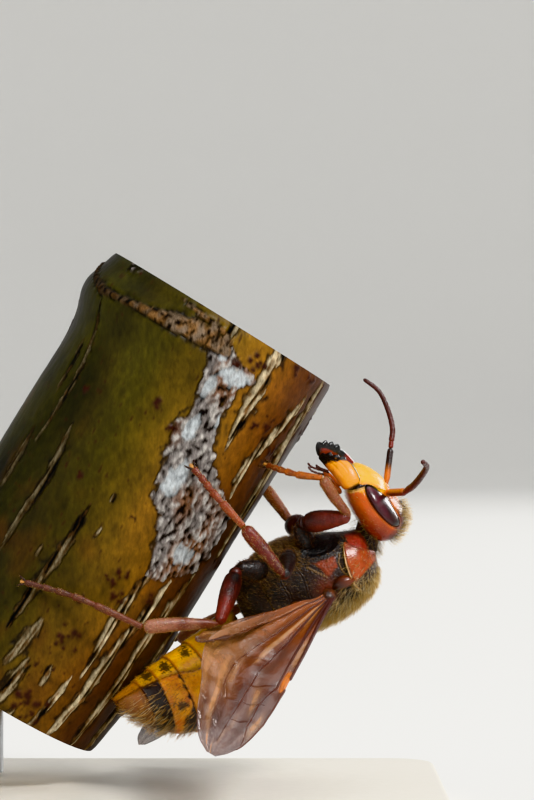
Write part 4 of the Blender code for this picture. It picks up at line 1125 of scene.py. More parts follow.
def makeTegulae():
    look = tegulaLook
    forms = []
    for hand in (1.0, -1.0):
        def place(share, angle, hand=hand):
            across = math.sin(math.pi * share)
            x, z, out = -math.cos(math.pi * share), across * math.cos(angle), across * math.sin(angle)
            side = sample(thoraxLook["shape"], look["widest"])[2] - look["sunk"] + out * look["half"][1]
            return Vector((look["centre"][0] + x * look["half"][0], hand * side,
                           look["centre"][1] + z * look["half"][2] + look["curl"] * x * x))
        scale = wrapBall(40, 30, place)
        paint(scale, lambda point: mixColours(look["rear"], look["front"], ease(1.6, 3.2, point.x)))
        forms.append(scale)
    finishPiece("tegulae", joinForms(forms), thoraxFrame, polished, "shell_red")


makeThorax()

# Head: x out of the face, y to her left, z from the mouth to the crown
headLook = {
    # height, back edge, front edge, half width
    "shape": (
        (0.0, -0.60, 0.00, 1.15), (0.4, -0.80, 0.30, 1.60), (0.75, -1.90, 0.44, 2.30),
        (1.1, -2.35, 0.54, 2.78), (1.8, -2.82, 0.66, 3.04), (2.6, -3.20, 0.68, 3.30),
        (3.0, -3.34, 0.58, 3.40), (3.35, -3.46, 0.34, 3.46), (3.65, -3.56, 0.10, 3.48),
        (4.2, -3.70, 0.04, 3.50), (4.8, -3.75, -0.02, 3.48), (5.7, -3.60, -0.25, 3.20),
        (6.3, -3.10, -0.80, 2.55), (6.65, -2.60, -1.50, 1.40)),
    "facePower": 1.85,
    "backPower": 3.0,
    "sides": 240,
    "rings": 190,
    # height, half width of the clypeus
    "clypeus": ((-0.2, 1.2), (0.4, 2.05), (0.8, 2.6), (1.2, 2.85), (1.6, 2.78), (2.0, 2.62), (2.8, 2.38),
                (3.15, 2.0), (3.4, 1.3), (3.5, 0.6)),
    "clypeusTop": 3.5,
    "eyeMiddle": (-0.90, 3.80),          # ahead and up
    "eyeHalf": (0.60, 2.12),
    "eyeBulge": 0.42,
    "eyeDepth": 0.5,
    "eyeLean": math.radians(11.5),
    "eyeNotch": 0.07,
    "socket": (0.95, 3.68),
    "yellow": "fcc10a", "yellowEdge": "ea9208", "seam": "1d0b06", "cheek": "c4540c", "cheekDeep": "7a1c06",
    "cheekPale": "f0b868", "crown": "541a09", "orbit": "d2640e", "nape": "1d0c07", "brow": "d06a10",
}


# half width of the bare head at a height and a place ahead
def headHalf(ahead, height):
    back, front, half = sample(headLook["shape"], height)
    middle, rise = (back + front) / 2.0, (front - back) / 2.0
    power = headLook["facePower"] if ahead > middle else headLook["backPower"]
    return half * max(0.0, 1.0 - abs((ahead - middle) / rise) ** power) ** (1.0 / power)


# how far inwards the eye's inner edge is cut, at a height over its middle from -1 to 1
def eyeWaist(side, height):
    return 1.0 - headLook["eyeNotch"] * swell(height, 0.35, 0.32) * ease(0.2, 0.9, side)


# place in the eye's own outline: 1 on its edge, then how far across and up it
def eyePlace(point):
    look = headLook
    ahead, up = point.x - look["eyeMiddle"][0], point.z - look["eyeMiddle"][1]
    lean = look["eyeLean"]
    across = (ahead * math.cos(lean) + up * math.sin(lean)) / look["eyeHalf"][0]
    along = (-ahead * math.sin(lean) + up * math.cos(lean)) / look["eyeHalf"][1]
    across /= eyeWaist(across, along)
    return math.hypot(across, along), across, along


def clypeusInset(point):
    if point.x < -1.2 or point.z > headLook["clypeusTop"] + 0.4:
        return -1.0
    half = sample(headLook["clypeus"], point.z)[0]
    side = half - abs(point.y)
    return min(side * 0.85, headLook["clypeusTop"] - point.z)


def headRelief(point):
    x, y, z = point
    inset = clypeusInset(point)
    relief = 0.0
    if inset > -0.5:
        relief += 0.10 * ease(0.0, 0.5, inset) - 0.11 * swell(inset, 0.0, 0.05)
    if x > -1.0 and z > headLook["clypeusTop"]:
        relief -= 0.07 * swell(y, 0.0, 0.10) * ease(5.6, 4.8, z)
        relief += 0.10 * swell(abs(y), 0.45, 0.25) * swell(z, 4.0, 0.4)
    socketAway = math.hypot(abs(y) - headLook["socket"][0], z - headLook["socket"][1])
    if x > -1.0:
        relief += 0.10 * swell(socketAway, 0.50, 0.10) - 0.28 * swell(socketAway, 0.0, 0.36)
    relief += 0.06 * swell(eyePlace(point)[0], 1.17, 0.07) * ease(1.0, 2.0, abs(y))
    relief += 0.10 * swell(z, 4.2, 1.8) * ease(-1.8, -2.8, x)
    relief += 0.010 * grain(point, 0.4) * ease(0.3, -0.1, inset)
    return relief


def sinkEye(point):
    pull = ease(1.05, 0.94, eyePlace(point)[0]) * ease(0.8, 1.4, abs(point.y))
    return Vector((point.x, point.y - math.copysign(0.34 * pull, point.y), point.z))


def headColour(point):
    x, y, z = point
    look = headLook
    speckle = grain(point, 0.55)
    cheek = mixColours(look["cheek"], look["cheekDeep"],
                       ease(2.0, 5.4, z + 0.5 * speckle) * 0.55 + ease(-1.7, -3.4, x) * 0.7)
    away, across, along = eyePlace(point)
    cheek = mixColours(cheek, look["orbit"], 0.8 * swell(away, 1.20, 0.12))
    face = mixColours(look["brow"], look["crown"], ease(4.4, 5.6, z + 0.4 * speckle))
    face = mixColours(face, look["crown"], 0.8 * swell(away, 1.75, 0.16) * ease(3.6, 4.2, z))
    colour = mixColours(cheek, face, ease(-1.0, -0.5, x + 0.4 * ease(5.0, 6.2, z)))
    colour = mixColours(colour, look["crown"], ease(5.5, 6.2, z + 0.3 * speckle))
    inset = clypeusInset(point)
    colour = mixColours(colour, look["yellow"], 0.8 * swell(inset, -0.1, 0.2) * ease(3.9, 3.3, z))
    lower = z - 0.80 - (x + 1.87) * 0.64                # over the cheek's edge at the mandible
    if abs(y) > 1.0 and inset < 0.0:
        colour = mixColours(colour, look["cheekPale"], ease(0.36, 0.22, lower + 0.06 * speckle))
        dark = 0.75 * swell(lower, 0.13, 0.035) + ease(0.05, 0.0, lower)
        colour = mixColours(colour, look["seam"], dark)
    if inset > -0.4:
        shell = mixColours(look["yellowEdge"], look["yellow"], ease(0.02, 0.45, inset + 0.15 * speckle))
        colour = mixColours(colour, shell, ease(-0.03, 0.03, inset))
        colour = mixColours(colour, look["seam"], 0.9 * swell(inset, -0.01, 0.05))
        colour = mixColours(colour, look["seam"], 0.85 * ease(0.12, -0.05, z))
    colour = mixColours(colour, look["seam"], 0.9 * ease(1.09, 1.03, away) * ease(1.0, 1.6, abs(y)))
    return mixColours(colour, look["nape"], ease(-3.1, -3.7, x) * ease(5.9, 4.8, z))


def makeHead():
    look = headLook
    top = look["shape"][-1][0]

    def place(share, angle):
        height = top * share
        back, front, half = sample(look["shape"], height)
        middle, rise = (back + front) / 2.0, (front - back) / 2.0
        power = look["facePower"] if math.sin(angle) > 0.0 else look["backPower"]
        rounding = roundEnds(share, 0.03, 0.05)
        x = middle + rise * signedPower(math.sin(angle), 2.0 / power) * rounding
        y = half * signedPower(math.cos(angle), 2.0 / power) * rounding
        return Vector((x, y, height))
    form = wrapBall(look["sides"], look["rings"], place)
    sculpt(form, headRelief)
    paint(form, headColour)
    for vert in form.verts:
        vert.co = sinkEye(vert.co)
    finishPiece("head_capsule", form, headFrame, polished, "shell_gold", ("head",))
    makeEyes()
    makeOcelli()
    makeMandibles()
    makePalps()
    makeNeck()
    makeAntennae()
    print("head done")


eyeLook = {
    "sides": 96,
    "rings": 80,
    "brown": "2c1013", "mauve": "5a3038", "rim": "080405", "warm": "3c1812",
    "ocelli": ((0.0, 5.25), (0.42, 5.75), (-0.42, 5.75)),    # sideways and up the head
    "ocellusRadius": 0.21,
    "ocellus": "1a0c08",
}


def makeEyes():
    look = headLook
    for name, hand in (("left", 1.0), ("right", -1.0)):
        def place(share, angle, hand=hand):
            across = math.sin(math.pi * share) * math.cos(angle)
            out = math.sin(math.pi * share) * math.sin(angle)
            along = -math.cos(math.pi * share)
            ahead = across * eyeWaist(across, along) * look["eyeHalf"][0]
            up = along * look["eyeHalf"][1]
            lean = look["eyeLean"]
            x = look["eyeMiddle"][0] + ahead * math.cos(lean) - up * math.sin(lean)
            z = look["eyeMiddle"][1] + ahead * math.sin(lean) + up * math.cos(lean)
            swollen = look["eyeBulge"] * out ** 0.8 if out > 0.0 else look["eyeDepth"] * out
            return Vector((x, hand * (headHalf(x, z) - 0.05 + swollen), z))
        form = wrapBall(eyeLook["sides"], eyeLook["rings"], place)

        def colourAt(point):
            away, across, along = eyePlace(point)
            bands = 0.5 + 0.5 * math.sin(across * 3.6 + 1.6 * along + 2.0)
            colour = mixColours(eyeLook["brown"], eyeLook["mauve"], bands * 0.8)
            colour = mixColours(colour, eyeLook["warm"], ease(0.0, 0.8, along) * 0.6)
            rim = max(ease(0.66, 0.90, along), ease(0.90, 0.98, away))
            return mixColours(colour, eyeLook["rim"], rim)
        paint(form, colourAt)
        finishPiece("eye_" + name + "_cornea", form, headFrame, eyeMaterial, "eye", ("eye_" + name,))


def makeOcelli():
    forms = []
    for side, height in eyeLook["ocelli"]:
        front = sample(headLook["shape"], height)[1]
        bead = bmesh.new()
        bmesh.ops.create_uvsphere(bead, u_segments=20, v_segments=12,
                                  radius=eyeLook["ocellusRadius"])
        bmesh.ops.translate(bead, vec=(front - 0.02, side, height), verts=bead.verts)
        paint(bead, eyeLook["ocellus"])
        forms.append(bead)
    finishPiece("ocelli", joinForms(forms), headFrame, eyeMaterial, "eye")


# Mandibles: broad blades. Each row is a share of the length, then the rear and the front
# edge there as ahead, outwards and up the head
mandibleLook = {
    "left": (
        (0.0, -1.98, 2.98, 0.70, -0.46, 2.86, 1.28), (0.38, -1.62, 2.25, -0.95, 0.10, 2.20, -0.30),
        (0.70, -1.57, 1.35, -1.76, -0.39, 1.20, -1.53), (0.88, -1.55, 0.80, -2.15, -0.86, 0.70, -2.27),
        (1.0, -1.53, 0.50, -2.44, -1.40, 0.45, -2.54)),
    "right": (
        (0.0, -1.98, 2.98, 0.70, -0.40, 2.86, 1.10), (0.38, -1.62, 2.30, -0.95, -0.02, 2.30, -0.70),
        (0.70, -1.57, 1.40, -1.80, -0.17, 1.40, -2.15), (0.88, -1.56, 0.90, -2.20, -0.49, 0.90, -2.85),
        (1.0, -1.50, 0.60, -2.60, -1.05, 0.50, -3.22)),
    "blackFrom": {"left": 0.95, "right": 0.40},      # across, from -1 to 1, where the edge turns black
    # share of the length, half thickness
    "shape": ((0.0, 0.42), (0.2, 0.52), (0.5, 0.46), (0.8, 0.28), (1.0, 0.14)),
    "toothLength": 0.26,
    "teeth": 4,
    "toothStart": 0.50,
    "orange": "f6a30a", "amber": "cf650a", "inner": "7c1e0a", "black": "070404", "hinge": "200d07",
}
# Soft parts between and under them: ahead, outwards and up the head
mouthLook = {
    "lobe": ((-2.45, 1.5, 0.75), (-2.35, 1.2, -0.35), (-2.2, 0.8, -1.35)),
    "lobeRadius": 0.34,
    # radius, then places
    "palps": ((0.10, ((-2.2, 0.8, -1.25), (-2.45, 0.9, -1.75), (-2.62, 0.9, -2.3), (-2.55, 0.8, -2.75))),
              (0.08, ((-1.9, 0.4, -1.0), (-2.15, 0.4, -1.7), (-2.2, 0.35, -2.2)))),
    "lobePale": "b4500c", "lobeDark": "6e2208", "palp": "4a1a0a",
}


def makeMandibles():
    look = mandibleLook
    for name, hand in (("left", 1.0), ("right", -1.0)):
        def place(share, angle, name=name, hand=hand):
            row = sample(look[name], share)
            rear, front = Vector(row[:3]), Vector(row[3:])
            after = sample(look[name], min(share + 0.02, 1.0))
            before = sample(look[name], max(share - 0.02, 0.0))
            way = Vector(after[:3]) + Vector(after[3:]) - Vector(before[:3]) - Vector(before[3:])
            way = way.normalized()
            across = math.sin(angle) * roundEnds(share, 0.10, 0.03)
            thick = sample(look["shape"], share)[0] * math.cos(angle) * roundEnds(share, 0.10, 0.05)
            width = front - rear
            normal = width.cross(way).normalized()
            run = (share - look["toothStart"]) / (1.0 - look["toothStart"]) * look["teeth"]
            tooth = (1.0 - abs(run % 1.0 - 0.6) / 0.6) * ease(0.0, 0.3, run) * ease(4.0, 3.7, run)
            tooth *= look["toothLength"] * ease(0.3, 1.0, across)
            groove = 0.05 * (swell(across, 0.30, 0.10) + swell(across, -0.35, 0.10)) * ease(0.2, 0.4, share)
            lift = thick - (groove if thick > 0.0 else 0.0)
            point = rear.lerp(front, (across + 1.0) / 2.0) + normal * lift + width.normalized() * tooth
            return Vector((point.x, point.y * hand, point.z))

        def colourAt(share, angle, name=name, hand=hand):
            across, outer = math.sin(angle), math.cos(angle) > 0.0
            speckle = grain((across * 0.8, share * 3.4, 4.0 * hand), 0.4)
            fine = grain((across, share * 3.4, 9.0 * hand), 0.12)
            colour = mixColours(look["orange"], look["amber"], ease(-0.2, -1.0, across) + 0.3 * speckle)
            colour = mixColours(colour, look["inner"], 0.0 if outer else 1.0)
            ragged = share + 0.09 * across - 0.10 * speckle + 0.05 * fine
            colour = mixColours(colour, look["inner"], 0.7 * ease(0.52, 0.60, ragged))
            colour = mixColours(colour, look["black"], ease(0.57, 0.62, ragged)
                                * (1.0 if outer else ease(0.86, 0.96, share)))
            edge = look["blackFrom"][name] if not outer else 0.90
            reach = ease(0.02, 0.08, share) if name == "left" else ease(0.3, 0.42, share)
            colour = mixColours(colour, look["black"], ease(edge - 0.06, edge + 0.04, across) * reach)
            return mixColours(colour, look["hinge"], ease(0.05, 0.0, share))
        form = wrapBall(128, 90, place, colourAt)
        finishPiece("mandible_" + name + "_blade", form, headFrame, polished, "shell_gold",
                    ("mandible_" + name,))


def makePalps():
    look = mouthLook
    forms = []
    for hand in (1.0, -1.0):
        def lobeWidth(share):
            return look["lobeRadius"] * roundEnds(share, 0.25, 0.35) * (1.0 - 0.2 * share)
        lobe = limbForm([(x, y * hand, z) for x, y, z in look["lobe"]], lobeWidth, 20, 30, 0.7)
        paint(lobe, lambda point: mixColours(look["lobePale"], look["lobeDark"], ease(-2.3, -2.6, point.x)))
        forms.append(lobe)
        for radius, points in look["palps"]:
            def palpWidth(share, radius=radius):
                joints = 0.72 + 0.28 * abs(math.sin(share * math.pi * 5.0))
                return radius * joints * roundEnds(share, 0.05, 0.08)
            palp = limbForm([(x, y * hand, z) for x, y, z in points], palpWidth, 10, 60)
            paint(palp, look["palp"])
            forms.append(palp)
    finishPiece("mouth_palps", joinForms(forms), headFrame, limbShell, "antenna")


neckLook = {
    "inHead": (-2.4, 0.0, 4.3),
    "inThorax": (4.6, 0.0, 0.1),
    "radius": 1.25,
    "waist": 0.15,
    "dark": "1c0d08", "brown": "3c160a",
}


def makeNeck():
    look = neckLook
    inner = headFrame @ Vector(look["inHead"])
    outer = thoraxFrame @ Vector(look["inThorax"])

    def widthAt(share):
        return (look["radius"] - look["waist"] * math.sin(math.pi * share)) * roundEnds(share, 0.1, 0.1)
    form = limbForm([inner, inner.lerp(outer, 0.5), outer], widthAt, 40, 30)
    paint(form, lambda point: mixColours(look["dark"], look["brown"], 0.5 + grain(point, 0.7)))
    finishPiece("neck", form, world, rough, "shell_dark")


antennaLook = {
    "left": ((20.40, -4.9, 27.63), (21.07, -6.4, 28.23), (21.66, -8.0, 29.08), (21.95, -9.7, 29.80),
             (21.55, -11.5, 30.25)),
    "right": ((19.45, 1.7, 31.15), (19.62, 2.2, 32.75), (19.25, 2.6, 34.35), (18.50, 2.9, 35.90),
              (17.20, 3.1, 36.95)),
    "rings": 10,
    "scape": {"left": 0.30, "right": 0.25},
    "root": {"left": 0.29, "right": 0.24},
    "tip": {"left": 0.20, "right": 0.17},
    "amber": "d8760c", "red": "6a1a08", "dark": "200804", "flagellum": "4c1208",
}


def makeAntennae():
    look = antennaLook
    for name, hand in (("left", 1.0), ("right", -1.0)):
        side, height = headLook["socket"]
        front = sample(headLook["shape"], height)[1]
        root = headFrame @ Vector((front - 0.15, side * hand, height))
        elbow = Vector(look[name][0])
        way = (Vector(look[name][1]) - elbow).normalized()

        def scapeWidth(share, name=name):
            size = 0.62 + 0.45 * ease(0.08, 0.3, share) + 0.12 * swell(share, 0.03, 0.04)
            return look["scape"][name] * size * roundEnds(share, 0.03, 0.10)
        scape = limbForm([root, root.lerp(elbow, 0.15), root.lerp(elbow, 0.6), elbow], scapeWidth, 24, 60)
        axis = (elbow - root).normalized()

        def scapeColour(point, root=root, axis=axis, elbow=elbow, name=name):
            share = (point - root).dot(axis) / (elbow - root).length
            below = ease(0.10, -0.15, (point - root - axis * (point - root).dot(axis)).z)
            base = mixColours(look["amber"], look["red"], 0.25 + 0.75 * below)
            return mixColours(base, look["dark"], ease(0.30, 0.65, share) if name == "right" else 0.0)
        paint(scape, scapeColour)
        pedicel = limbForm([elbow - way * 0.05, elbow + way * 0.3, elbow + way * 0.65],
                           lambda share: look["tip"][name] * 1.25 * roundEnds(share, 0.25, 0.25), 20, 16)
        paint(pedicel, look["red"])
        finishPiece("antenna_" + name + "_base", joinForms([scape, pedicel]), world, limbShell, "antenna",
                    ("antenna_" + name + "_scape",))
        start = elbow + way * 0.55
        points = [start] + [Vector(point) for point in look[name][1:]]

        def widthAt(share):
            place = share * look["rings"]
            ring = place % 1.0
            joint = 0.07 * math.exp(-(min(ring, 1.0 - ring) / 0.05) ** 2)
            size = look["root"][name] + (look["tip"][name] - look["root"][name]) * share ** 2
            return size * (1.0 - joint) * (0.97 + 0.05 * ring) * roundEnds(share, 0.02, 0.05)
        whip = limbForm(points, widthAt, 24, 260)
        length = sum((b - a).length for a, b in zip(points, points[1:]))

        def whipColour(point, start=start, length=length):
            share = (point - start).length / length
            base = mixColours(look["red"], look["flagellum"], ease(0.0, 0.3, share))
            return mixColours(base, look["dark"], 0.35 + 0.5 * grain(point, 0.6))
        paint(whip, whipColour)
        finishPiece("antenna_" + name + "_whip", whip, world, limbShell, "antenna",
                    ("antenna_" + name + "_flagellum", "antenna_" + name + "_tip"))


eyeMaterial = makeEyeMaterial()
makeHead()

# Gaster: x from the waist to the tip, y to her left, z towards her back
gasterLook = {
    "power": 2.15,
    # along, belly edge, back edge, half width, slant of the section
    "shape": (
        (0.0, -0.35, 0.75, 0.55, 0.00), (0.7, -0.50, 1.60, 1.15, 0.00), (1.4, -0.55, 3.80, 2.60, 0.00),
        (2.4, -0.45, 5.50, 3.60, 0.02), (4.2, -0.35, 6.45, 4.05, 0.08), (6.2, -0.30, 6.60, 4.15, 0.14),
        (7.8, -0.30, 6.00, 3.90, 0.18), (9.4, -0.20, 4.85, 3.25, 0.18), (10.6, -0.05, 3.55, 2.40, 0.14),
        (11.4, 0.05, 2.15, 1.45, 0.06), (11.95, 0.20, 0.75, 0.40, 0.00)),
    "ends": (0.0, 2.7, 5.1, 7.35, 9.0, 10.25, 11.95),
    "sides": 180,
    "tuck": 0.45,
    # along, height of the line where back plates lap over belly plates
    "lateral": ((0.0, 0.2), (1.4, 1.0), (2.4, 1.7), (4.5, 2.05), (6.2, 1.90), (7.3, 1.35), (10.0, 0.62),
                (11.95, 0.42)),
    "gold": "dd9606", "orange": "b8600c", "dark": "1b0b06", "redBrown": "4c140a", "shadow": "5c3c08",
    "yellow": "f4b406", "amber": "e2900a", "tip": "74420a", "tipBelly": "dd800c",
    # for each back plate, the share of its length that is dark in front, on the flank and on the back; the
    # dark is partly her own bands and partly painted shade, over the whole fifth plate and wider on the back
    "flankBands": (0.62, 0.40, 0.02, 0.02, 1.2, 0.15),
    "backBands": (0.95, 0.85, 0.62, 0.60, 1.2, 0.5),
    # spots of the back plates and of the belly plates: share of the plate, height or turn, radius
    "backSpot": (0.52, 0.36, 0.42),
    "bellySpots": ((1, 0.40, 0.30, 0.40), (2, 0.36, 0.33, 0.44), (2, 0.18, -0.02, 0.22),
                   (3, 0.38, 0.35, 0.47), (4, 0.35, 0.13, 0.42)),
}


def gasterPoint(along, angle, radial=1.0, grow=0.0):
    low, high, half, slant = sample(gasterLook["shape"], along)
    middle, rise = (low + high) / 2.0, (high - low) / 2.0 + grow
    up = middle + rise * signedPower(math.sin(angle), 2.0 / gasterLook["power"]) * radial
    side = (half + grow) * signedPower(math.cos(angle), 2.0 / gasterLook["power"]) * radial
    return Vector((along + slant * (up - middle), side, up))


def makeGasterColour(k):
    look = gasterLook
    start, end = look["ends"][k], look["ends"][k + 1]

    def colourAt(point):
        low, high, half, slant = sample(look["shape"], point.x)
        along = point.x - slant * (point.z - (low + high) / 2.0)
        share = (along - start) / (end - start)
        lateral = sample(look["lateral"], along)[0]
        speckle, fine = grain(point, 0.45), grain(point, 0.14)
        turn = (2.0 * point.z - low - high) / (high - low)          # -1 on the belly, 1 on the back
        if point.z > lateral:
            colour = mixColours(look["gold"], look["orange"],
                                0.30 + 0.8 * grain(point, 0.9) + 0.5 * fine + 0.5 * ease(7.5, 9.3, along))
            flank, back = look["flankBands"][k], look["backBands"][k]
            band = flank + (back - flank) * ease(0.40, 0.85, turn) + 0.16 * speckle + 0.10 * fine
            colour = mixColours(colour, look["dark"], ease(band + 0.10, band - 0.05, share))
            place, height, radius = look["backSpot"]
            away = math.hypot((share - place) * (end - start), (turn - height) * (high - low) / 2.0)
            if k in (1, 2, 3):
                spot = ease(radius + 0.1, radius - 0.12, away + 0.35 * speckle + 0.25 * fine)
                colour = mixColours(colour, look["dark"], 0.9 * spot)
            # the last back plate is painted dark orange-brown, which is partly painted shade
            if k == 5:
                colour = mixColours(colour, look["tip"], 0.85)
            dots = 0.55 + 1.2 * fine
            colour = mixColours(colour, look["redBrown"], dots * ease(0.93, 0.98, share))
        else:
            colour = mixColours(look["yellow"], look["amber"], 0.35 + 0.7 * speckle + 0.5 * fine)
            colour = mixColours(colour, look["orange"], 0.8 * ease(0.90, 0.98, share))
            colour = mixColours(colour, look["redBrown"], 0.75 * ease(0.10, 0.02, share + 0.08 * fine))
            for plate, place, height, radius in look["bellySpots"]:
                away = math.hypot((share - place) * (end - start), point.z - height)
                if k == plate:
                    colour = mixColours(colour, look["dark"],
                                        0.92 * ease(radius + 0.06, radius - 0.12, away + 0.4 * fine))
            if k == 0:
                colour = mixColours(colour, look["dark"], 0.85)
            if k == 5:
                colour = mixColours(colour, look["tipBelly"], 0.7)
        colour = mixColours(colour, look["shadow"], 0.6 * swell(point.z, lateral - 0.12, 0.22))
        return mixColours(colour, look["redBrown"], (0.6 + 0.9 * fine) * swell(point.z, lateral, 0.07))
    return colourAt


def makeGaster():
    look = gasterLook
    for k in range(6):
        start, end = look["ends"][k], look["ends"][k + 1]
        first = start if k == 0 else start - look["tuck"]

        def place(along, angle, radial, k=k, start=start, end=end, first=first):
            t = first + (end - first) * along
            grow = 0.10 * ease(start, end, t) - 0.02
            if k > 0:
                grow -= 0.32 * ease(start + 0.12, first, t)
            grow -= 0.10 * ease(end - 0.05, end, t) * (k < 5)
            point = gasterPoint(t, angle, radial, grow)
            lateral = sample(look["lateral"], t)[0]
            lap = 0.07 * ease(-0.03, 0.06, point.z - lateral) - 0.05 * swell(point.z, lateral - 0.06, 0.08)
            low, high, half, slant = sample(look["shape"], t)
            out = Vector((0.0, point.y / half, (point.z - (low + high) / 2.0) / (high - low)))
            if out.length > 0.01:
                point += out.normalized() * lap * radial
            return point
        form = wrapDrum(look["sides"], 46 if k else 60, 3, place)
        sculpt(form, lambda point: 0.012 * grain(point, 0.3) + 0.02 * grain(point, 1.3))
        paint(form, makeGasterColour(k))
        finishPiece("gaster_ring_" + str(k + 1), form, gasterFrame, polished, "shell_gold",
                    ("abdomen_" + str(k + 1),), sharp=50.0)
    print("gaster done")


makeGaster()

# Wings: a place on one is a share of its length and a share of its width there
wingLook = {
    "rootSide": 0.96,
    "hinge": 0.5,
    "lengths": {"fore": 23.0, "hind": 12.0},
    "stretch": {"left": 1.0, "right": 1.05},
    "bases": {"fore": (0.9, 1.9), "hind": (-2.0, 1.7)},
    "span": {"left": (-0.392, -0.767, -0.504), "right": (-0.655, 0.47, -0.59)},
    "chord": {"left": (-0.886, 0.167, 0.433), "right": (-0.641, -0.763, 0.087)},
    "hindMix": {"left": (0.935, 0.27, -0.23), "right": (0.955, 0.25, -0.10)},
    "hindTwist": {"left": math.radians(38.0), "right": math.radians(45.0)},
    "camber": {"fore": 0.9, "hind": 0.5},
    # share of the length, leading edge, trailing edge
    "outlines": {
        "fore": ((0.0, -0.35, 0.35), (0.06, -0.45, 0.9), (0.10, -0.53, 1.6), (0.20, -0.72, 2.8),
                 (0.30, -0.93, 4.1), (0.40, -1.12, 5.3), (0.48, -1.26, 6.0), (0.53, -1.35, 6.05),
                 (0.60, -1.45, 5.6), (0.70, -1.52, 4.6), (0.80, -1.45, 3.8), (0.90, -1.10, 2.85),
                 (0.96, -0.55, 2.0), (1.0, 0.15, 0.95)),
        "hind": ((0.0, -0.3, 0.35), (0.08, -0.3, 1.2), (0.25, -0.35, 2.9), (0.5, -0.55, 4.1),
                 (0.72, -0.65, 4.0), (0.88, -0.35, 3.0), (0.96, 0.25, 2.1), (1.0, 0.85, 1.45)),
    },
    # radius at the root and at the end, then places
    "veins": {
        "fore": (
            (0.19, 0.12, ((0.0, 0.02), (0.3, 0.0), (0.5, 0.0))),
            (0.16, 0.09, ((0.0, 0.18), (0.3, 0.12), (0.5, 0.09), (0.57, 0.09))),
            (0.07, 0.05, ((0.55, 0.10), (0.68, 0.19), (0.80, 0.17), (0.90, 0.03))),
            (0.10, 0.05, ((0.54, 0.0), (0.75, 0.0), (0.93, 0.0))),
            (0.11, 0.04, ((0.0, 0.38), (0.3, 0.33), (0.55, 0.36), (0.8, 0.47), (0.92, 0.49))),
            (0.09, 0.04, ((0.0, 0.58), (0.3, 0.60), (0.55, 0.64), (0.78, 0.72))),
            (0.08, 0.04, ((0.0, 0.80), (0.3, 0.84), (0.58, 0.90))),
            (0.05, 0.045, ((0.42, 0.34), (0.44, 0.61))),
            (0.05, 0.045, ((0.54, 0.11), (0.57, 0.36))),
            (0.05, 0.045, ((0.66, 0.11), (0.67, 0.41))),
            (0.05, 0.045, ((0.68, 0.42), (0.69, 0.68))),
            (0.05, 0.045, ((0.77, 0.20), (0.78, 0.46))),
            (0.05, 0.045, ((0.30, 0.60), (0.31, 0.84))),
            (0.05, 0.03, ((0.78, 0.72), (0.90, 0.75))),
        ),
        "hind": (
            (0.12, 0.05, ((0.0, 0.18), (0.4, 0.12), (0.85, 0.16))),
            (0.09, 0.04, ((0.0, 0.45), (0.4, 0.42), (0.80, 0.48))),
            (0.08, 0.04, ((0.0, 0.74), (0.4, 0.72), (0.62, 0.74))),
            (0.06, 0.06, ((0.46, 0.13), (0.48, 0.43))),
            (0.06, 0.05, ((0.34, 0.43), (0.35, 0.73))),
        ),
    },
    "thickness": 0.05,
    "segments": {"fore": (120, 44), "hind": (80, 44)},
    "chordScale": 4.0,                   # veins and ripples take the chord as this many millimetres
    # the stigma is drawn bright orange, long and narrow on the front edge: the wing's own stigma with a
    # painted glint
    "stigmaPlaces": ((0.45, 0.045), (0.51, 0.045), (0.57, 0.03)),
    "stigmaRadius": 0.17,
    "jointRadius": 0.62,
    "jointInset": 0.86,
    "jointEnd": (0.03, 0.4),
    "joint": "1e0c06", "jointPale": "5a2c10",
    "amber": "85400e", "tan": "6c3820", "smoke": "63423a", "pale": "b98556", "peach": "d09a70",
    "vein": "3e140c", "veinEnd": "542616", "stigmaGlint": "b4600c",
    "rootAlpha": 0.92, "middleAlpha": 0.80, "tipAlpha": 0.68,
}


def wingAxes(kind, hand):
    look = wingLook
    sign = 1.0 if hand == "left" else -1.0
    span = Vector(look["span"][hand]).normalized()
    chord = Vector(look["chord"][hand])
    chord = (chord - span * chord.dot(span)).normalized()
    face = span.cross(chord) * sign
    if kind == "hind":
        mix = look["hindMix"][hand]
        span = (span * mix[0] + chord * mix[1] + face * mix[2]).normalized()
        chord = (chord - span * chord.dot(span)).normalized()
        face = span.cross(chord) * sign
        twist = look["hindTwist"][hand]
        chord = chord * math.cos(twist) + face * math.sin(twist)
        face = span.cross(chord) * sign
    along, up = look["bases"][kind]
    half = sample(thoraxLook["shape"], along)[2]
    base = thoraxFrame @ Vector((along, sign * (half * look["rootSide"] + gap + look["hinge"]), up))
    return base, span, chord, face


# colour and opacity of the membrane at a place on it
def wingColour(kind, share, column, length):
    look = wingLook
    chord = look["chordScale"]
    near = min(lineDistance(share * length, column * chord, [(a * length, b * chord) for a, b in places])
               for start, end, places in look["veins"][kind])
    tone = mixColours(look["amber"], look["tan"], ease(0.10, 0.55, share))
    tone = mixColours(tone, look["smoke"], ease(0.5, 0.95, share))
    # pale and dark streaks along the wing: its own uneven tint, and painted light and shade of its folds
    streak = grain((share * 4.0, column * 9.0, 8.0), 0.9)
    tone = mixColours(tone, look["pale"], ease(0.10, 0.55, streak) * 0.8)
    tone = mixColours(tone, look["vein"], ease(-0.10, -0.55, streak) * 0.55)
    tone = mixColours(tone, look["vein"], 0.45 * swell(near, 0.0, 0.22))
    peach = swell(share, 0.50, 0.20) * ease(0.45, 0.85, column)
    tone = mixColours(tone, look["peach"], 0.55 * peach)
    alpha = look["rootAlpha"] + (look["middleAlpha"] - look["rootAlpha"]) * ease(0.05, 0.45, share)
    alpha -= 0.16 * peach
    alpha += (look["tipAlpha"] - look["middleAlpha"]) * ease(0.45, 1.0, share)
    if kind == "fore":
        # the stigma with its painted glint
        stigmaGlint = ease(0.44, 0.47, share) * ease(0.58, 0.54, share) * ease(0.085, 0.05, column)
        tone = mixColours(tone, look["stigmaGlint"], stigmaGlint)
        alpha = alpha + (1.0 - alpha) * stigmaGlint
    return (*tone[:3], alpha)


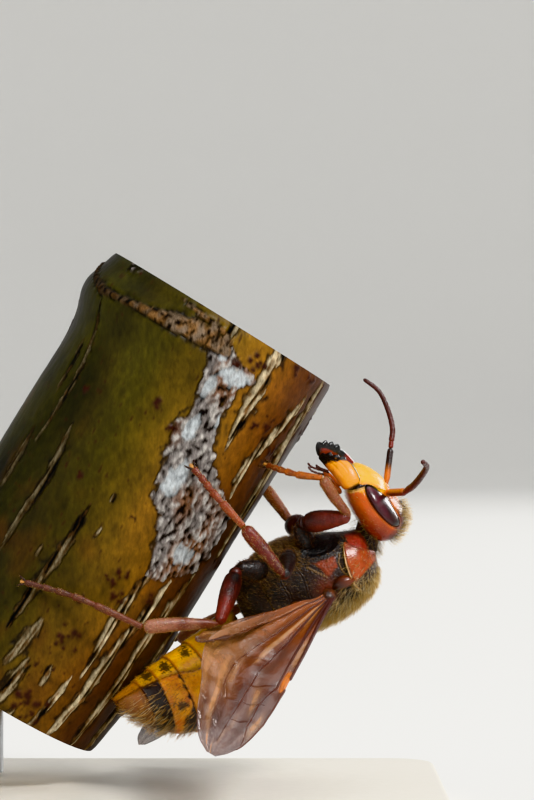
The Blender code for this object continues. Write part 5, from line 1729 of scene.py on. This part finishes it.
def makeWing(kind, hand, membrane):
    look = wingLook
    name = kind + "wing_" + hand
    base, span, chord, face = wingAxes(kind, hand)
    length, outline = look["lengths"][kind] * look["stretch"][hand], look["outlines"][kind]

    def wingPoint(share, column):
        lead, trail = sample(outline, share)
        across = column * look["chordScale"]
        bulge = look["camber"][kind] * math.sin(math.pi * share) * math.sin(math.pi * column)
        ripple = 0.13 * math.sin(column * fullTurn * 3.5 + 1.0) * ease(0.0, 0.2, share) * (1.0 - 0.4 * share)
        ripple += 0.26 * grain((share * length, across, 3.0), 1.5) * ease(0.15, 0.6, share)
        ripple += 0.05 * grain((share * length, across, 9.0), 0.45) * ease(0.1, 0.4, share)
        ripple *= 0.25 + 0.75 * ease(1.0, 0.8, share)
        place = lead + (trail - lead) * column
        return base + span * length * share + chord * place + face * (bulge + ripple)
    form = bmesh.new()
    bmesh.ops.create_grid(form, x_segments=look["segments"][kind][0], y_segments=look["segments"][kind][1],
                          size=1.0)
    layer = form.verts.layers.float_color.new("markings")
    for vert in form.verts:
        share, column = (vert.co.x + 1.0) / 2.0, (vert.co.y + 1.0) / 2.0
        vert[layer] = wingColour(kind, share, column, length)
        vert.co = wingPoint(share, column)
    bmesh.ops.recalc_face_normals(form, faces=form.faces)
    form.normal_update()
    bmesh.ops.solidify(form, geom=form.faces, thickness=look["thickness"])
    finishPiece(name + "_membrane", form, world, membrane, "wing", (name,))
    tubes = []
    for start, end, places in look["veins"][kind]:
        points = []
        for (s0, c0), (s1, c1) in zip(places, places[1:]):
            points += [wingPoint(s0 + (s1 - s0) * i / 6.0, c0 + (c1 - c0) * i / 6.0) for i in range(6)]
        points.append(wingPoint(*places[-1]))

        def widthAt(share, start=start, end=end):
            return (start + (end - start) * share) * roundEnds(share, 0.02, 0.03)
        tube = limbForm(points, widthAt, 10, 60)
        paint(tube, lambda point: mixColours(look["vein"], look["veinEnd"],
                                             ease(0.1, 0.8, (point - base).length / length)))
        tubes.append(tube)
    if kind == "fore":
        stigmaGlint = limbForm([wingPoint(*place) for place in look["stigmaPlaces"]],
                          lambda share: look["stigmaRadius"] * math.sin(math.pi * share) ** 0.6 + 0.01,
                          16, 24, 0.5, chord)
        paint(stigmaGlint, look["stigmaGlint"])
        tubes.append(stigmaGlint)
    inner = base.copy()
    inner.y *= look["jointInset"]
    joint = limbForm([inner, base.lerp(inner, 0.3), wingPoint(*look["jointEnd"])],
                     lambda share: look["jointRadius"] * roundEnds(share, 0.2, 0.5), 20, 24, 0.7, chord)
    paint(joint, lambda point: mixColours(look["joint"], look["jointPale"], 0.5 + grain(point, 0.4)))
    tubes.append(joint)
    finishPiece(name + "_veins", joinForms(tubes), world, limbShell, "wing")


def makeWings():
    membrane = makeMembraneMaterial()
    for kind in ("fore", "hind"):
        for hand in ("left", "right"):
            makeWing(kind, hand, membrane)
    print("wings done")


makeWings()

# Legs: the hip is a place on the thorax, the other joints are in world millimetres and
# the toes are places on the bark with their height over it
legLook = {
    "fore_left": {"hip": (0.7, 40), "joints": ((11.7, -3.0, 24.95), (15.9, -4.9, 25.6), (13.6, -5.4, 28.8)),
                  "toes": ((29.0, 56.5, 3.9), (28.6, 56.5, 2.3), (28.3, 58.5, 0.6))},
    "mid_left": {"hip": (-1.2, 56), "joints": ((10.8, -4.9, 22.4), (10.5, -9.2, 20.95), (7.2, -8.9, 24.9)),
                 "toes": ((24.1, 32, 2.8), (24.6, 28, 1.5), (25.0, 23.5, 0.6))},
    "hind_left": {"hip": (-3.2, 56), "joints": ((6.6, -4.0, 21.3), (5.2, -7.9, 17.0), (-0.95, -8.9, 16.8)),
                  "toes": ((11.3, 13.5, 1.6), (10.8, 3, 0.8), (9.9, -12, 0.6))},
    "fore_right": {"hip": (0.7, -40), "joints": ((11.8, 3.0, 24.5), (11.15, 7.0, 24.7), (8.85, 8.9, 27.7)),
                   "toes": ((27.4, 126, 1.4), (27.9, 133, 0.8), (28.3, 141, 0.6))},
    "mid_right": {"hip": (-1.2, -56), "joints": ((10.75, 4.9, 22.2), (10.35, 9.0, 20.25), (7.3, 11.4, 23.75)),
                  "toes": ((23.3, 135, 2.0), (24.1, 145, 0.9), (24.7, 153, 0.6))},
    "hind_right": {"hip": (-3.2, -56), "joints": ((6.6, 4.0, 21.0), (7.65, 8.2, 17.8), (1.35, 12.4, 14.35)),
                   "toes": ((10.6, 143, 1.9), (10.2, 155, 0.9), (9.9, 164, 0.6))},
}
legShape = {
    # radius at the start, the thickest and the end
    "coxa": {"fore": (0.75, 0.90, 0.52), "mid": (0.62, 0.76, 0.48), "hind": (0.75, 0.94, 0.52)},
    "femur": {"fore": (0.60, 1.0, 0.50), "mid": (0.56, 0.80, 0.45), "hind": (0.60, 0.90, 0.48)},
    "tibia": {"fore": (0.36, 0.52, 0.50), "mid": (0.36, 0.60, 0.52), "hind": (0.36, 0.64, 0.60)},
    "thickest": {"coxa": 0.4, "femur": 0.35, "tibia": 0.7},
    "tarsomeres": (0.0, 0.42, 0.60, 0.74, 0.85, 1.0),
    "tarsus": (0.36, 0.28),
    "spurs": {"fore": (0.9,), "mid": (0.8, 0.7), "hind": (0.9, 0.8)},
    "clawLength": 0.85,
}
legTone = {
    # colour at the start and the end of each part
    "coxa": ("0a0605", "150806"),
    # the middle femurs are painted near-black, which is partly painted shade under the thorax
    "femur_fore": ("240806", "5a160a"), "femur_mid": ("0a0504", "140706"), "femur_hind": ("0f0705", "6e1a0a"),
    "tibia_fore": ("743a22", "86482c"), "tibia_mid": ("4c0f08", "681a0c"), "tibia_hind": ("6a3222", "96604a"),
    "tarsus_fore": ("a8540e", "6e2c0a"), "tarsus_mid": ("8c3a10", "6a2208"),
    "tarsus_hind": ("6a3420", "4c2214"),
    "claw": "2a0e06", "spur": "54220c", "belly": "74200c", "pad": "c58a4a",
}


def legPoints(name):
    leg = legLook[name]
    along, degrees = leg["hip"]
    inner = bodySection(thoraxLook["shape"], along, math.radians(degrees - 90.0), thoraxLook["power"], -0.5)
    joints = [thoraxFrame @ inner] + [Vector(point) for point in leg["joints"]]
    toes = [stemPoint(place, math.radians(turn), height) for place, turn, height in leg["toes"]]
    return joints, toes


legPaths = {}


def makeLegs():
    for name in legLook:
        kind = name.split("_")[0]
        joints, toes = legPoints(name)
        hip, trochanter, knee, ankle = joints
        plane = (knee - trochanter).cross(ankle - knee).normalized()
        legPaths[name] = (joints, toes, plane)
        for part, start, end in (("coxa", hip, trochanter), ("femur", trochanter, knee),
                                 ("tibia", knee, ankle)):
            first, thick, last = legShape[part][kind]
            peak = legShape["thickest"][part]

            def widthAt(share, first=first, thick=thick, last=last, peak=peak, part=part):
                width = sample(((0.0, first), (peak, thick), (1.0, last)), share)[0]
                if part == "femur":
                    width *= 1.0 - 0.25 * swell(share, 0.13, 0.035)
                if part == "tibia":
                    width *= 0.80 + 0.20 * ease(0.03, 0.16, share)
                return width * roundEnds(share, 0.12, 0.10)
            bow = plane.cross(end - start).normalized() * (0.14 if part == "tibia" else 0.0)
            form = limbForm([start, start.lerp(end, 0.5) + bow, end], widthAt, 32, 60, 0.88, plane)
            axis = (end - start).normalized()
            down = plane.cross(axis)
            key = part if part == "coxa" else part + "_" + kind

            def colourAt(point, start=start, end=end, axis=axis, down=down, key=key):
                share = (point - start).dot(axis) / (end - start).length
                tone = mixColours(legTone[key][0], legTone[key][1],
                                  ease(0.05, 0.95, share + 0.5 * grain(point, 0.9)))
                if key.startswith("femur"):
                    away = point - start
                    lower = -away.normalized().z * 0.2 - (away - axis * away.dot(axis)).z
                    belly = 0.7 * ease(0.0, 0.6, lower) * ease(0.15, 0.5, share)
                    tone = mixColours(tone, legTone["belly"], belly)
                return tone
            sculpt(form, lambda point: 0.018 * grain(point, 0.25) + 0.012 * grain(point, 0.6))
            paint(form, colourAt)
            forms = [form]
            if part == "tibia":
                for k, size in enumerate(legShape["spurs"][kind]):
                    lean = axis * 0.85 + down * (0.35 if k == 0 else 0.1) + plane * (0.25 - 0.5 * k)
                    lean = lean.normalized()
                    root = end - axis * 0.15 + down * 0.22
                    spur = limbForm([root, root + lean * size * 0.5 + down * 0.03, root + lean * size],
                                    lambda share: 0.075 * (1.0 - share) ** 0.7 + 0.004, 10, 14)
                    paint(spur, legTone["spur"])
                    forms.append(spur)
            node = "leg_" + name + "_" + part
            slot = "shell_dark" if part == "coxa" else "leg"
            finishPiece(node + "_shell", joinForms(forms), world, limbShell, slot, (node,))
        makeTarsus(name, kind, ankle, toes, plane)
    print("legs done")


def makeTarsus(name, kind, ankle, toes, plane):
    points = [ankle] + toes
    ends = legShape["tarsomeres"]
    wide, thin = legShape["tarsus"]

    def widthAt(share):
        k = max(i for i in range(5) if ends[i] <= share + 1e-6)
        inside = (share - ends[k]) / (ends[k + 1] - ends[k])
        flare = 0.74 + 0.32 * ease(0.0, 0.9, inside) - 0.36 * ease(0.93, 1.0, inside)
        return (wide + (thin - wide) * share) * flare * roundEnds(share, 0.02, 0.03)
    form = limbForm(points, widthAt, 20, 170, 0.85, plane)
    length = sum((b - a).length for a, b in zip(points, points[1:]))

    def colourAt(point):
        share = (point - ankle).length / length
        return mixColours(legTone["tarsus_" + kind][0], legTone["tarsus_" + kind][1],
                          ease(0.1, 0.9, share + 0.4 * grain(point, 0.5)))
    paint(form, colourAt)
    way = (toes[2] - toes[1]).normalized()
    out = (toes[2] - stemCentre(legLook[name]["toes"][2][0])[0]).normalized()
    across = way.cross(out).normalized()
    forms = [form]
    for hand in (1.0, -1.0):
        size = legShape["clawLength"]
        root = toes[2] - way * 0.1 + across * hand * 0.09
        claw = limbForm([root, root + (way * 0.55 + across * hand * 0.30 + out * 0.05) * size,
                         root + (way * 0.85 + across * hand * 0.42 - out * 0.42) * size],
                        lambda share: 0.10 * (1.0 - share) ** 0.6 + 0.006, 12, 24)
        paint(claw, legTone["claw"])
        forms.append(claw)
    pad = limbForm([toes[2] - way * 0.05, toes[2] + way * 0.22 - out * 0.05,
                    toes[2] + way * 0.38 - out * 0.14],
                   lambda share: 0.15 * roundEnds(share, 0.3, 0.3), 14, 14, 0.7, across)
    paint(pad, legTone["pad"])
    forms.append(pad)
    node = "leg_" + name + "_tarsus"
    finishPiece(node + "_shell", joinForms(forms), world, limbShell, "leg", (node,))


makeLegs()

# Coats: every hair is a thin three-sided spike that bends over along the lie
coatLook = {
    "rings": (0.0, 0.35, 0.7),           # shares of a hair's length where it has a ring
    "sides": 3,
    "sunk": 0.03,                        # its root lies this deep in the shell
    "taper": 0.62,
    # hairs are painted darker towards the root, painted shade deep in the coat, and lighter than their colour
    # at the tip, painted light
    "rootShade": 0.35, "tipShade": 1.15,
    "mapStep": (0.003, 0.001),           # how far a hair's corners lie apart on its bake map
    "gold": ("8c5618", "deab48", "fbe6ac"),
    "pale": ("a06a28", "e4bc68", "fff0c4"),
    "dark": ("1f0e06", "5a2c0e", "a4662a"),
    "fuzz": ("3a1e0c", "8c5a24", "d8b070"),
    "bristle": ("b8601a", "f0ae48", "fff0c4"),
    # hairs thrown on each part before its cover thins them out
    "counts": {"back": 36000, "sides": 37500, "propodeum": 4400, "pronotum": 5000, "crown": 10800,
               "face": 7200, "neck": 1400, "gaster": 12600, "limb": 620},
    "gasterShares": (0.10, 0.20, 0.24, 0.20, 0.15, 0.11),
    # lean is 0 upright and 1 flat, bend is how far it turns on, jitter how far it strays
    "back": {"length": 1.00, "width": 0.016, "lean": 0.28, "bend": 0.75, "jitter": 0.45},
    "collar": {"length": 0.62, "width": 0.016, "lean": 0.42, "bend": 0.75, "jitter": 0.45},
    "flank": {"length": 0.38, "width": 0.012, "lean": 0.42, "bend": 0.75, "jitter": 0.45},
    "crown": {"length": 0.85, "width": 0.017, "lean": 0.22, "bend": 0.5, "jitter": 0.4},
    "face": {"length": 0.24, "width": 0.012, "lean": 0.5, "bend": 0.5, "jitter": 0.4},
    "neck": {"length": 1.0, "width": 0.016, "lean": 0.30, "bend": 0.5, "jitter": 0.4},
    "gaster": {"length": 0.32, "width": 0.017, "lean": 0.52, "bend": 0.25, "jitter": 0.16},
    # part of a leg, its joints, length, share of the hairs, lean and tones
    "limbs": (("coxa", 0, 1, 0.34, 0.8, 0.45, "dark"), ("femur", 1, 2, 0.16, 1.3, 0.55, "dark"),
              ("tibia", 2, 3, 0.20, 1.2, 0.50, "gold"), ("tarsus", 3, 4, 0.15, 1.1, 0.55, "gold")),
}


def findPiece(name):
    return bpy.context.scene.objects[name]


# the triangles of a mesh in one fixed order, because bmesh lists the same faces in
# another order each time, and the hairs would move with it
def faceTriangles(mesh):
    triangles = []
    for face in mesh.polygons:
        ring = list(face.vertices)
        first = ring.index(min(ring))
        ring = ring[first:] + ring[:first]
        triangles += [(ring[0], ring[i], ring[i + 1]) for i in range(1, len(ring) - 1)]
    return np.array(sorted(triangles))


# the points and triangles of a finished piece, back in its own millimetres
def readSkin(piece, place):
    mesh = piece.data
    points = np.empty(len(mesh.vertices) * 3)
    mesh.vertices.foreach_get("co", points)
    turn = np.array((Matrix.Scale(millimetre, 4) @ place).inverted())
    return points.reshape(-1, 3) @ turn[:3, :3].T + turn[:3, 3], faceTriangles(mesh)


def unit(rows):
    return rows / np.maximum(np.linalg.norm(rows, axis=1, keepdims=True), 1e-9)


# a body part's axes are left-handed where its side points the other way
def isMirrored(place):
    return np.linalg.det(np.array(place)[:3, :3]) < 0.0


# random places on the skin, kept with the chance that coverAt gives
def scatter(name, place, count, seed, coverAt):
    points, corners = readSkin(findPiece(name), place)
    first, second, third = points[corners[:, 0]], points[corners[:, 1]], points[corners[:, 2]]
    faces = np.cross(second - first, third - first)
    area = np.linalg.norm(faces, axis=1)
    draw = np.random.default_rng(seed)
    pick = draw.choice(len(area), size=count, p=area / area.sum())
    u, v = draw.random(count), draw.random(count)
    beyond = u + v > 1.0
    u, v = np.where(beyond, 1.0 - u, u)[:, None], np.where(beyond, 1.0 - v, v)[:, None]
    roots = first[pick] * (1.0 - u - v) + second[pick] * u + third[pick] * v
    normals = unit(faces[pick]) * (-1.0 if isMirrored(place) else 1.0)
    kept = draw.random(count) < coverAt(roots, normals)
    return roots[kept], normals[kept], draw


# the corners of every hair of a batch, ring by ring and then the tip
def hairPoints(batch):
    look, rings, sides = batch["hair"], coatLook["rings"], coatLook["sides"]
    roots, normals, draw = batch["roots"], batch["normals"], batch["draw"]
    count = len(roots)
    lie = batch["lie"]
    lie = unit(lie - normals * np.sum(lie * normals, axis=1, keepdims=True))
    across = np.cross(normals, lie)
    sway = draw.normal(0.0, look["jitter"], count)[:, None]
    lie = unit(lie + across * sway)
    across = np.cross(normals, lie)
    length = (look["length"] * draw.uniform(0.65, 1.15, count))[:, None]
    lean = np.clip(look["lean"] + draw.normal(0.0, 0.10, count), 0.0, 1.0)[:, None]
    start = math.pi / 2.0 * lean
    finish = np.minimum(start + look["bend"], math.pi * 0.53)
    path = [roots - normals * coatLook["sunk"]]
    for k, (before, after) in enumerate(zip(rings, rings[1:] + (1.0,))):
        angle = start + (finish - start) * (k + 0.5) / len(rings)
        path.append(path[-1] + (normals * np.cos(angle) + lie * np.sin(angle)) * length * (after - before))
    verts = []
    for centre, share in zip(path, rings):
        width = (look["width"] * np.ones(count))[:, None] * (1.0 - coatLook["taper"] * share)
        for turn in (fullTurn * j / sides for j in range(sides)):
            verts.append(centre + (across * math.cos(turn) + normals * math.sin(turn)) * width)
    return np.stack(verts + [path[-1]], axis=1).reshape(-1, 3)


# the faces of one hair, by the number of its corners
def hairFaces(mirrored):
    rings, sides = len(coatLook["rings"]), coatLook["sides"]
    last = (rings - 1) * sides
    pairs = [(k * sides + j, k * sides + (j + 1) % sides) for k in range(rings - 1) for j in range(sides)]
    quads = [(a, b, b + sides, a + sides) for a, b in pairs]
    tips = [(last + j, last + (j + 1) % sides, last + sides) for j in range(sides)]
    tips.append((2, 1, 0))
    if mirrored:
        quads = [quad[::-1] for quad in quads]
        tips = [tip[::-1] for tip in tips]
    return np.array(quads), np.array(tips)


# a coat from batches of hairs, each with its roots, normals, lie, looks, colours, bake
# places, body part and random draws
def buildCoat(name, batches, slot):
    rings, sides = coatLook["rings"], coatLook["sides"]
    per = len(rings) * sides + 1
    # painted shade towards each hair's root and painted light at its tip
    fade = np.array([coatLook["rootShade"] + 0.75 * share for share in rings for _ in range(sides)]
                    + [coatLook["tipShade"]])
    stepAlong, stepAcross = coatLook["mapStep"]
    corners = np.array([(stepAlong * share, stepAcross * j) for share in rings for j in range(sides)]
                       + [(stepAlong, stepAcross)])
    points, faces, shades, places = [], [], [], []
    offset = 0
    for batch in batches:
        count = len(batch["roots"])
        if count == 0:
            continue
        whole = np.array(Matrix.Scale(millimetre, 4) @ batch["place"])
        points.append(hairPoints(batch) @ whole[:3, :3].T + whole[:3, 3])
        base = offset + np.arange(count)[:, None] * per
        for block in hairFaces(isMirrored(batch["place"])):
            faces += (base[:, None, :] + block[None, :, :]).reshape(-1, block.shape[1]).tolist()
        shades.append((batch["colours"][:, None, :] * fade[None, :, None]).reshape(-1, 3))
        places.append((batch["map"][:, None, :] + corners[None, :, :]).reshape(-1, 2))
        offset += count * per
    shades = np.clip(np.concatenate(shades), 0.0, 1.0)
    mesh = bpy.data.meshes.new(name)
    mesh.from_pydata(np.concatenate(points).tolist(), [], faces)
    layer = mesh.attributes.new("markings", "FLOAT_COLOR", "POINT")
    layer.data.foreach_set("color", np.column_stack([shades, np.ones(len(shades))]).ravel())
    loops = np.empty(len(mesh.loops), dtype=int)
    mesh.loops.foreach_get("vertex_index", loops)
    bake = mesh.uv_layers.new(name="OFBake")
    bake.data.foreach_set("uv", np.concatenate(places)[loops].ravel())
    addPiece(name, mesh, hairMaterial, slot)
    mesh.calc_loop_triangles()
    print(name, "has", len(mesh.loop_triangles), "triangles")


# the unwrap of a body part round its long axis, in the column given
def wrapMap(around, along, column=0.0, columns=1.0):
    return np.column_stack([(column + 0.02 + 0.95 * (around / fullTurn % 1.0)) / columns,
                            np.clip(0.02 + 0.95 * along, 0.0, 0.995)])


# colours along a row of tones, one for each share from 0 to 1
def blendTones(name, shares):
    stops = np.array([linear(code)[:3] for code in coatLook[name]])
    place = np.clip(shares, 0.0, 1.0) * (len(stops) - 1)
    low = np.minimum(place.astype(int), len(stops) - 2)
    rest = (place - low)[:, None]
    return stops[low] * (1.0 - rest) + stops[low + 1] * rest


def makeBatch(scattered, place, lie, hair, toneName, bakeMap, toneShares=None):
    roots, normals, draw = scattered
    shares = draw.random(len(roots))
    if toneShares is not None:
        shares = shares * 0.6 + toneShares
    return {"roots": roots, "normals": normals, "draw": draw, "place": place, "hair": hair,
            "lie": lie * np.ones((len(roots), 1)), "colours": blendTones(toneName, shares),
            "map": bakeMap}


def thoraxBatch(piece, count, seed, part):
    def coverAt(roots, normals):
        x, y, z = roots.T
        if part == "back":
            sides = 0.45 + 0.55 * easeRows(3.2, 1.6, np.abs(y))
            return easeRows(1.4, 2.6, z) * easeRows(-5.6, -4.8, x) * sides
        if part == "collar":
            facing = normals @ np.array([0.2, 0.0, 0.9])
            return (0.25 + 0.75 * easeRows(1.2, 2.4, z)) * easeRows(0.0, 0.6, facing + 0.5)
        cx, cz, rx, rz = thoraxLook["pit"]
        pit = easeRows(1.0, 1.25, np.hypot((x - cx) / rx, (z - cz) / rz))
        band = np.exp(-((z + 1.9 + 0.25 * x) / 0.9) ** 2) * easeRows(2.4, 1.0, x)
        belly = easeRows(-2.4, -3.0, z)
        return np.clip(0.08 + 0.9 * band + 0.30 * belly, 0.0, 1.0) * pit * easeRows(1.9, 1.3, z)
    scattered = scatter(piece, thoraxFrame, count, seed, coverAt)
    x, y, z = scattered[0].T
    hair = dict(coatLook[part])
    hair["length"] = hair["length"] * (1.0 - 0.35 * easeRows(-3.4, -5.5, x))
    lie = np.array([-1.0, 0.0, -0.8 if part == "flank" else 0.0])
    return makeBatch(scattered, thoraxFrame, lie, hair, "fuzz" if part == "flank" else "pale",
                     wrapMap(np.arctan2(y, z), (x + 6.5) / 12.1))


def headBatch(part, seed):
    crown = part == "crown"

    def coverAt(roots, normals):
        x, y, z = roots.T
        eyeAway = np.array([eyePlace(Vector(root))[0] for root in roots])
        clear = np.where(np.abs(y) > 1.0, easeRows(1.10, 1.2, eyeAway), 1.0)
        if crown:
            top = easeRows(4.6, 5.6, z) * easeRows(0.75, 0.5, np.abs(normals[:, 1]))
            return 0.6 * top * clear * easeRows(-3.2, -2.4, x)
        face = easeRows(-1.2, -0.6, x) * (0.10 + 0.5 * easeRows(3.7, 4.0, z))
        cheek = easeRows(-1.2, -1.8, x) * 0.25
        return np.clip(face + cheek, 0.0, 1.0) * clear * easeRows(5.8, 5.2, z)
    scattered = scatter("head_capsule", headFrame, coatLook["counts"][part], seed, coverAt)
    x, y, z = scattered[0].T
    return makeBatch(scattered, headFrame, np.array([0.55, 0.0, 0.8] if crown else [0.0, 0.0, -1.0]),
                     coatLook[part], "pale" if crown else "gold", wrapMap(np.arctan2(y, x + 1.8), z / 6.7))


# hair in the gap between head and thorax
def neckBatch(seed):
    back = np.array(thoraxFrame.to_3x3() @ Vector((0.0, 0.0, 1.0)))

    def coverAt(roots, normals):
        return 0.15 + 0.85 * easeRows(-0.3, 0.5, normals @ back)
    scattered = scatter("neck", world, coatLook["counts"]["neck"], seed, coverAt)
    roots = scattered[0]
    around = np.arctan2(roots[:, 1], roots @ back - float(np.array(thoraxFrame.translation) @ back))
    return makeBatch(scattered, world, np.array(thoraxFrame.to_3x3() @ Vector((-1.0, 0.0, 0.0))),
                     coatLook["neck"], "pale",
                     wrapMap(around, (roots[:, 2] - roots[:, 2].min()) / 6.0, 1, 2))


def gasterBatch(k, seed):
    start, end = gasterLook["ends"][k], gasterLook["ends"][k + 1]

    def coverAt(roots, normals):
        x, y, z = roots.T
        share = (x - start) / (end - start)
        upper = easeRows(1.2, 2.4, z)
        cover = 0.26 + 0.24 * upper + 0.22 * easeRows(0.35, 0.9, share) * upper
        return cover * easeRows(-0.05, 0.02, share) * easeRows(1.0, 0.97, share)
    count = int(coatLook["counts"]["gaster"] * coatLook["gasterShares"][k])
    scattered = scatter("gaster_ring_" + str(k + 1), gasterFrame, count, seed, coverAt)
    x, y, z = scattered[0].T
    upper, rear = easeRows(0.6, 1.8, z), easeRows(7.0, 9.5, x)
    hair = dict(coatLook["gaster"])
    hair["length"] = hair["length"] + (0.28 + 0.36 * rear) * upper
    hair["width"] = hair["width"] + 0.006 * rear * upper
    return makeBatch(scattered, gasterFrame, np.array([1.0, 0.0, 0.0]), hair, "bristle",
                     wrapMap(np.arctan2(y, z - 2.5), x / 12.2), 0.4 * rear * upper)


# a batch for each part of each leg, by the side it is on
def limbBatches():
    batches = {"left": [], "right": []}
    column = 0
    columns = len(legLook) * len(coatLook["limbs"])
    for name in legLook:
        joints, toes, plane = legPaths[name]
        ends = joints + [toes[2]]
        for part, first, last, length, share, lean, toneName in coatLook["limbs"]:
            axis = (ends[last] - ends[first]).normalized()
            scattered = scatter("leg_" + name + "_" + part + "_shell", world,
                                int(coatLook["counts"]["limb"] * share), 60 + column,
                                lambda roots, normals: np.full(len(roots), 0.9))
            hair = {"length": length, "width": 0.013, "lean": lean, "bend": 0.35, "jitter": 0.25}
            away = scattered[0] - np.array(ends[first])
            around = np.arctan2(away @ np.array(plane), away @ np.cross(np.array(axis), np.array(plane)))
            along = away @ np.array(axis) / (ends[last] - ends[first]).length
            batches[name.split("_")[1]].append(
                makeBatch(scattered, world, np.array(axis), hair, toneName,
                          wrapMap(around, along, column, columns)))
            column += 1
    return batches


def makeCoats():
    counts = coatLook["counts"]
    buildCoat("coat_thorax_back", [thoraxBatch("mesothorax", counts["back"], 21, "back"),
                                   thoraxBatch("pronotum_plate", counts["pronotum"], 22, "collar")],
              "shell_dark")
    buildCoat("coat_thorax_sides", [thoraxBatch("mesothorax", counts["sides"], 23, "flank"),
                                    thoraxBatch("propodeum_shell", counts["propodeum"], 24, "back"),
                                    thoraxBatch("propodeum_shell", counts["propodeum"], 25, "flank")],
              "shell_dark")
    buildCoat("coat_head", [headBatch("crown", 31), headBatch("face", 32), neckBatch(33)], "shell_gold")
    buildCoat("coat_gaster", [gasterBatch(k, 41 + k) for k in range(6)], "shell_gold")
    for hand, batches in limbBatches().items():
        buildCoat("coat_legs_" + hand, batches, "leg")
    print("coats done")


hairMaterial = makeHairMaterial()
makeCoats()
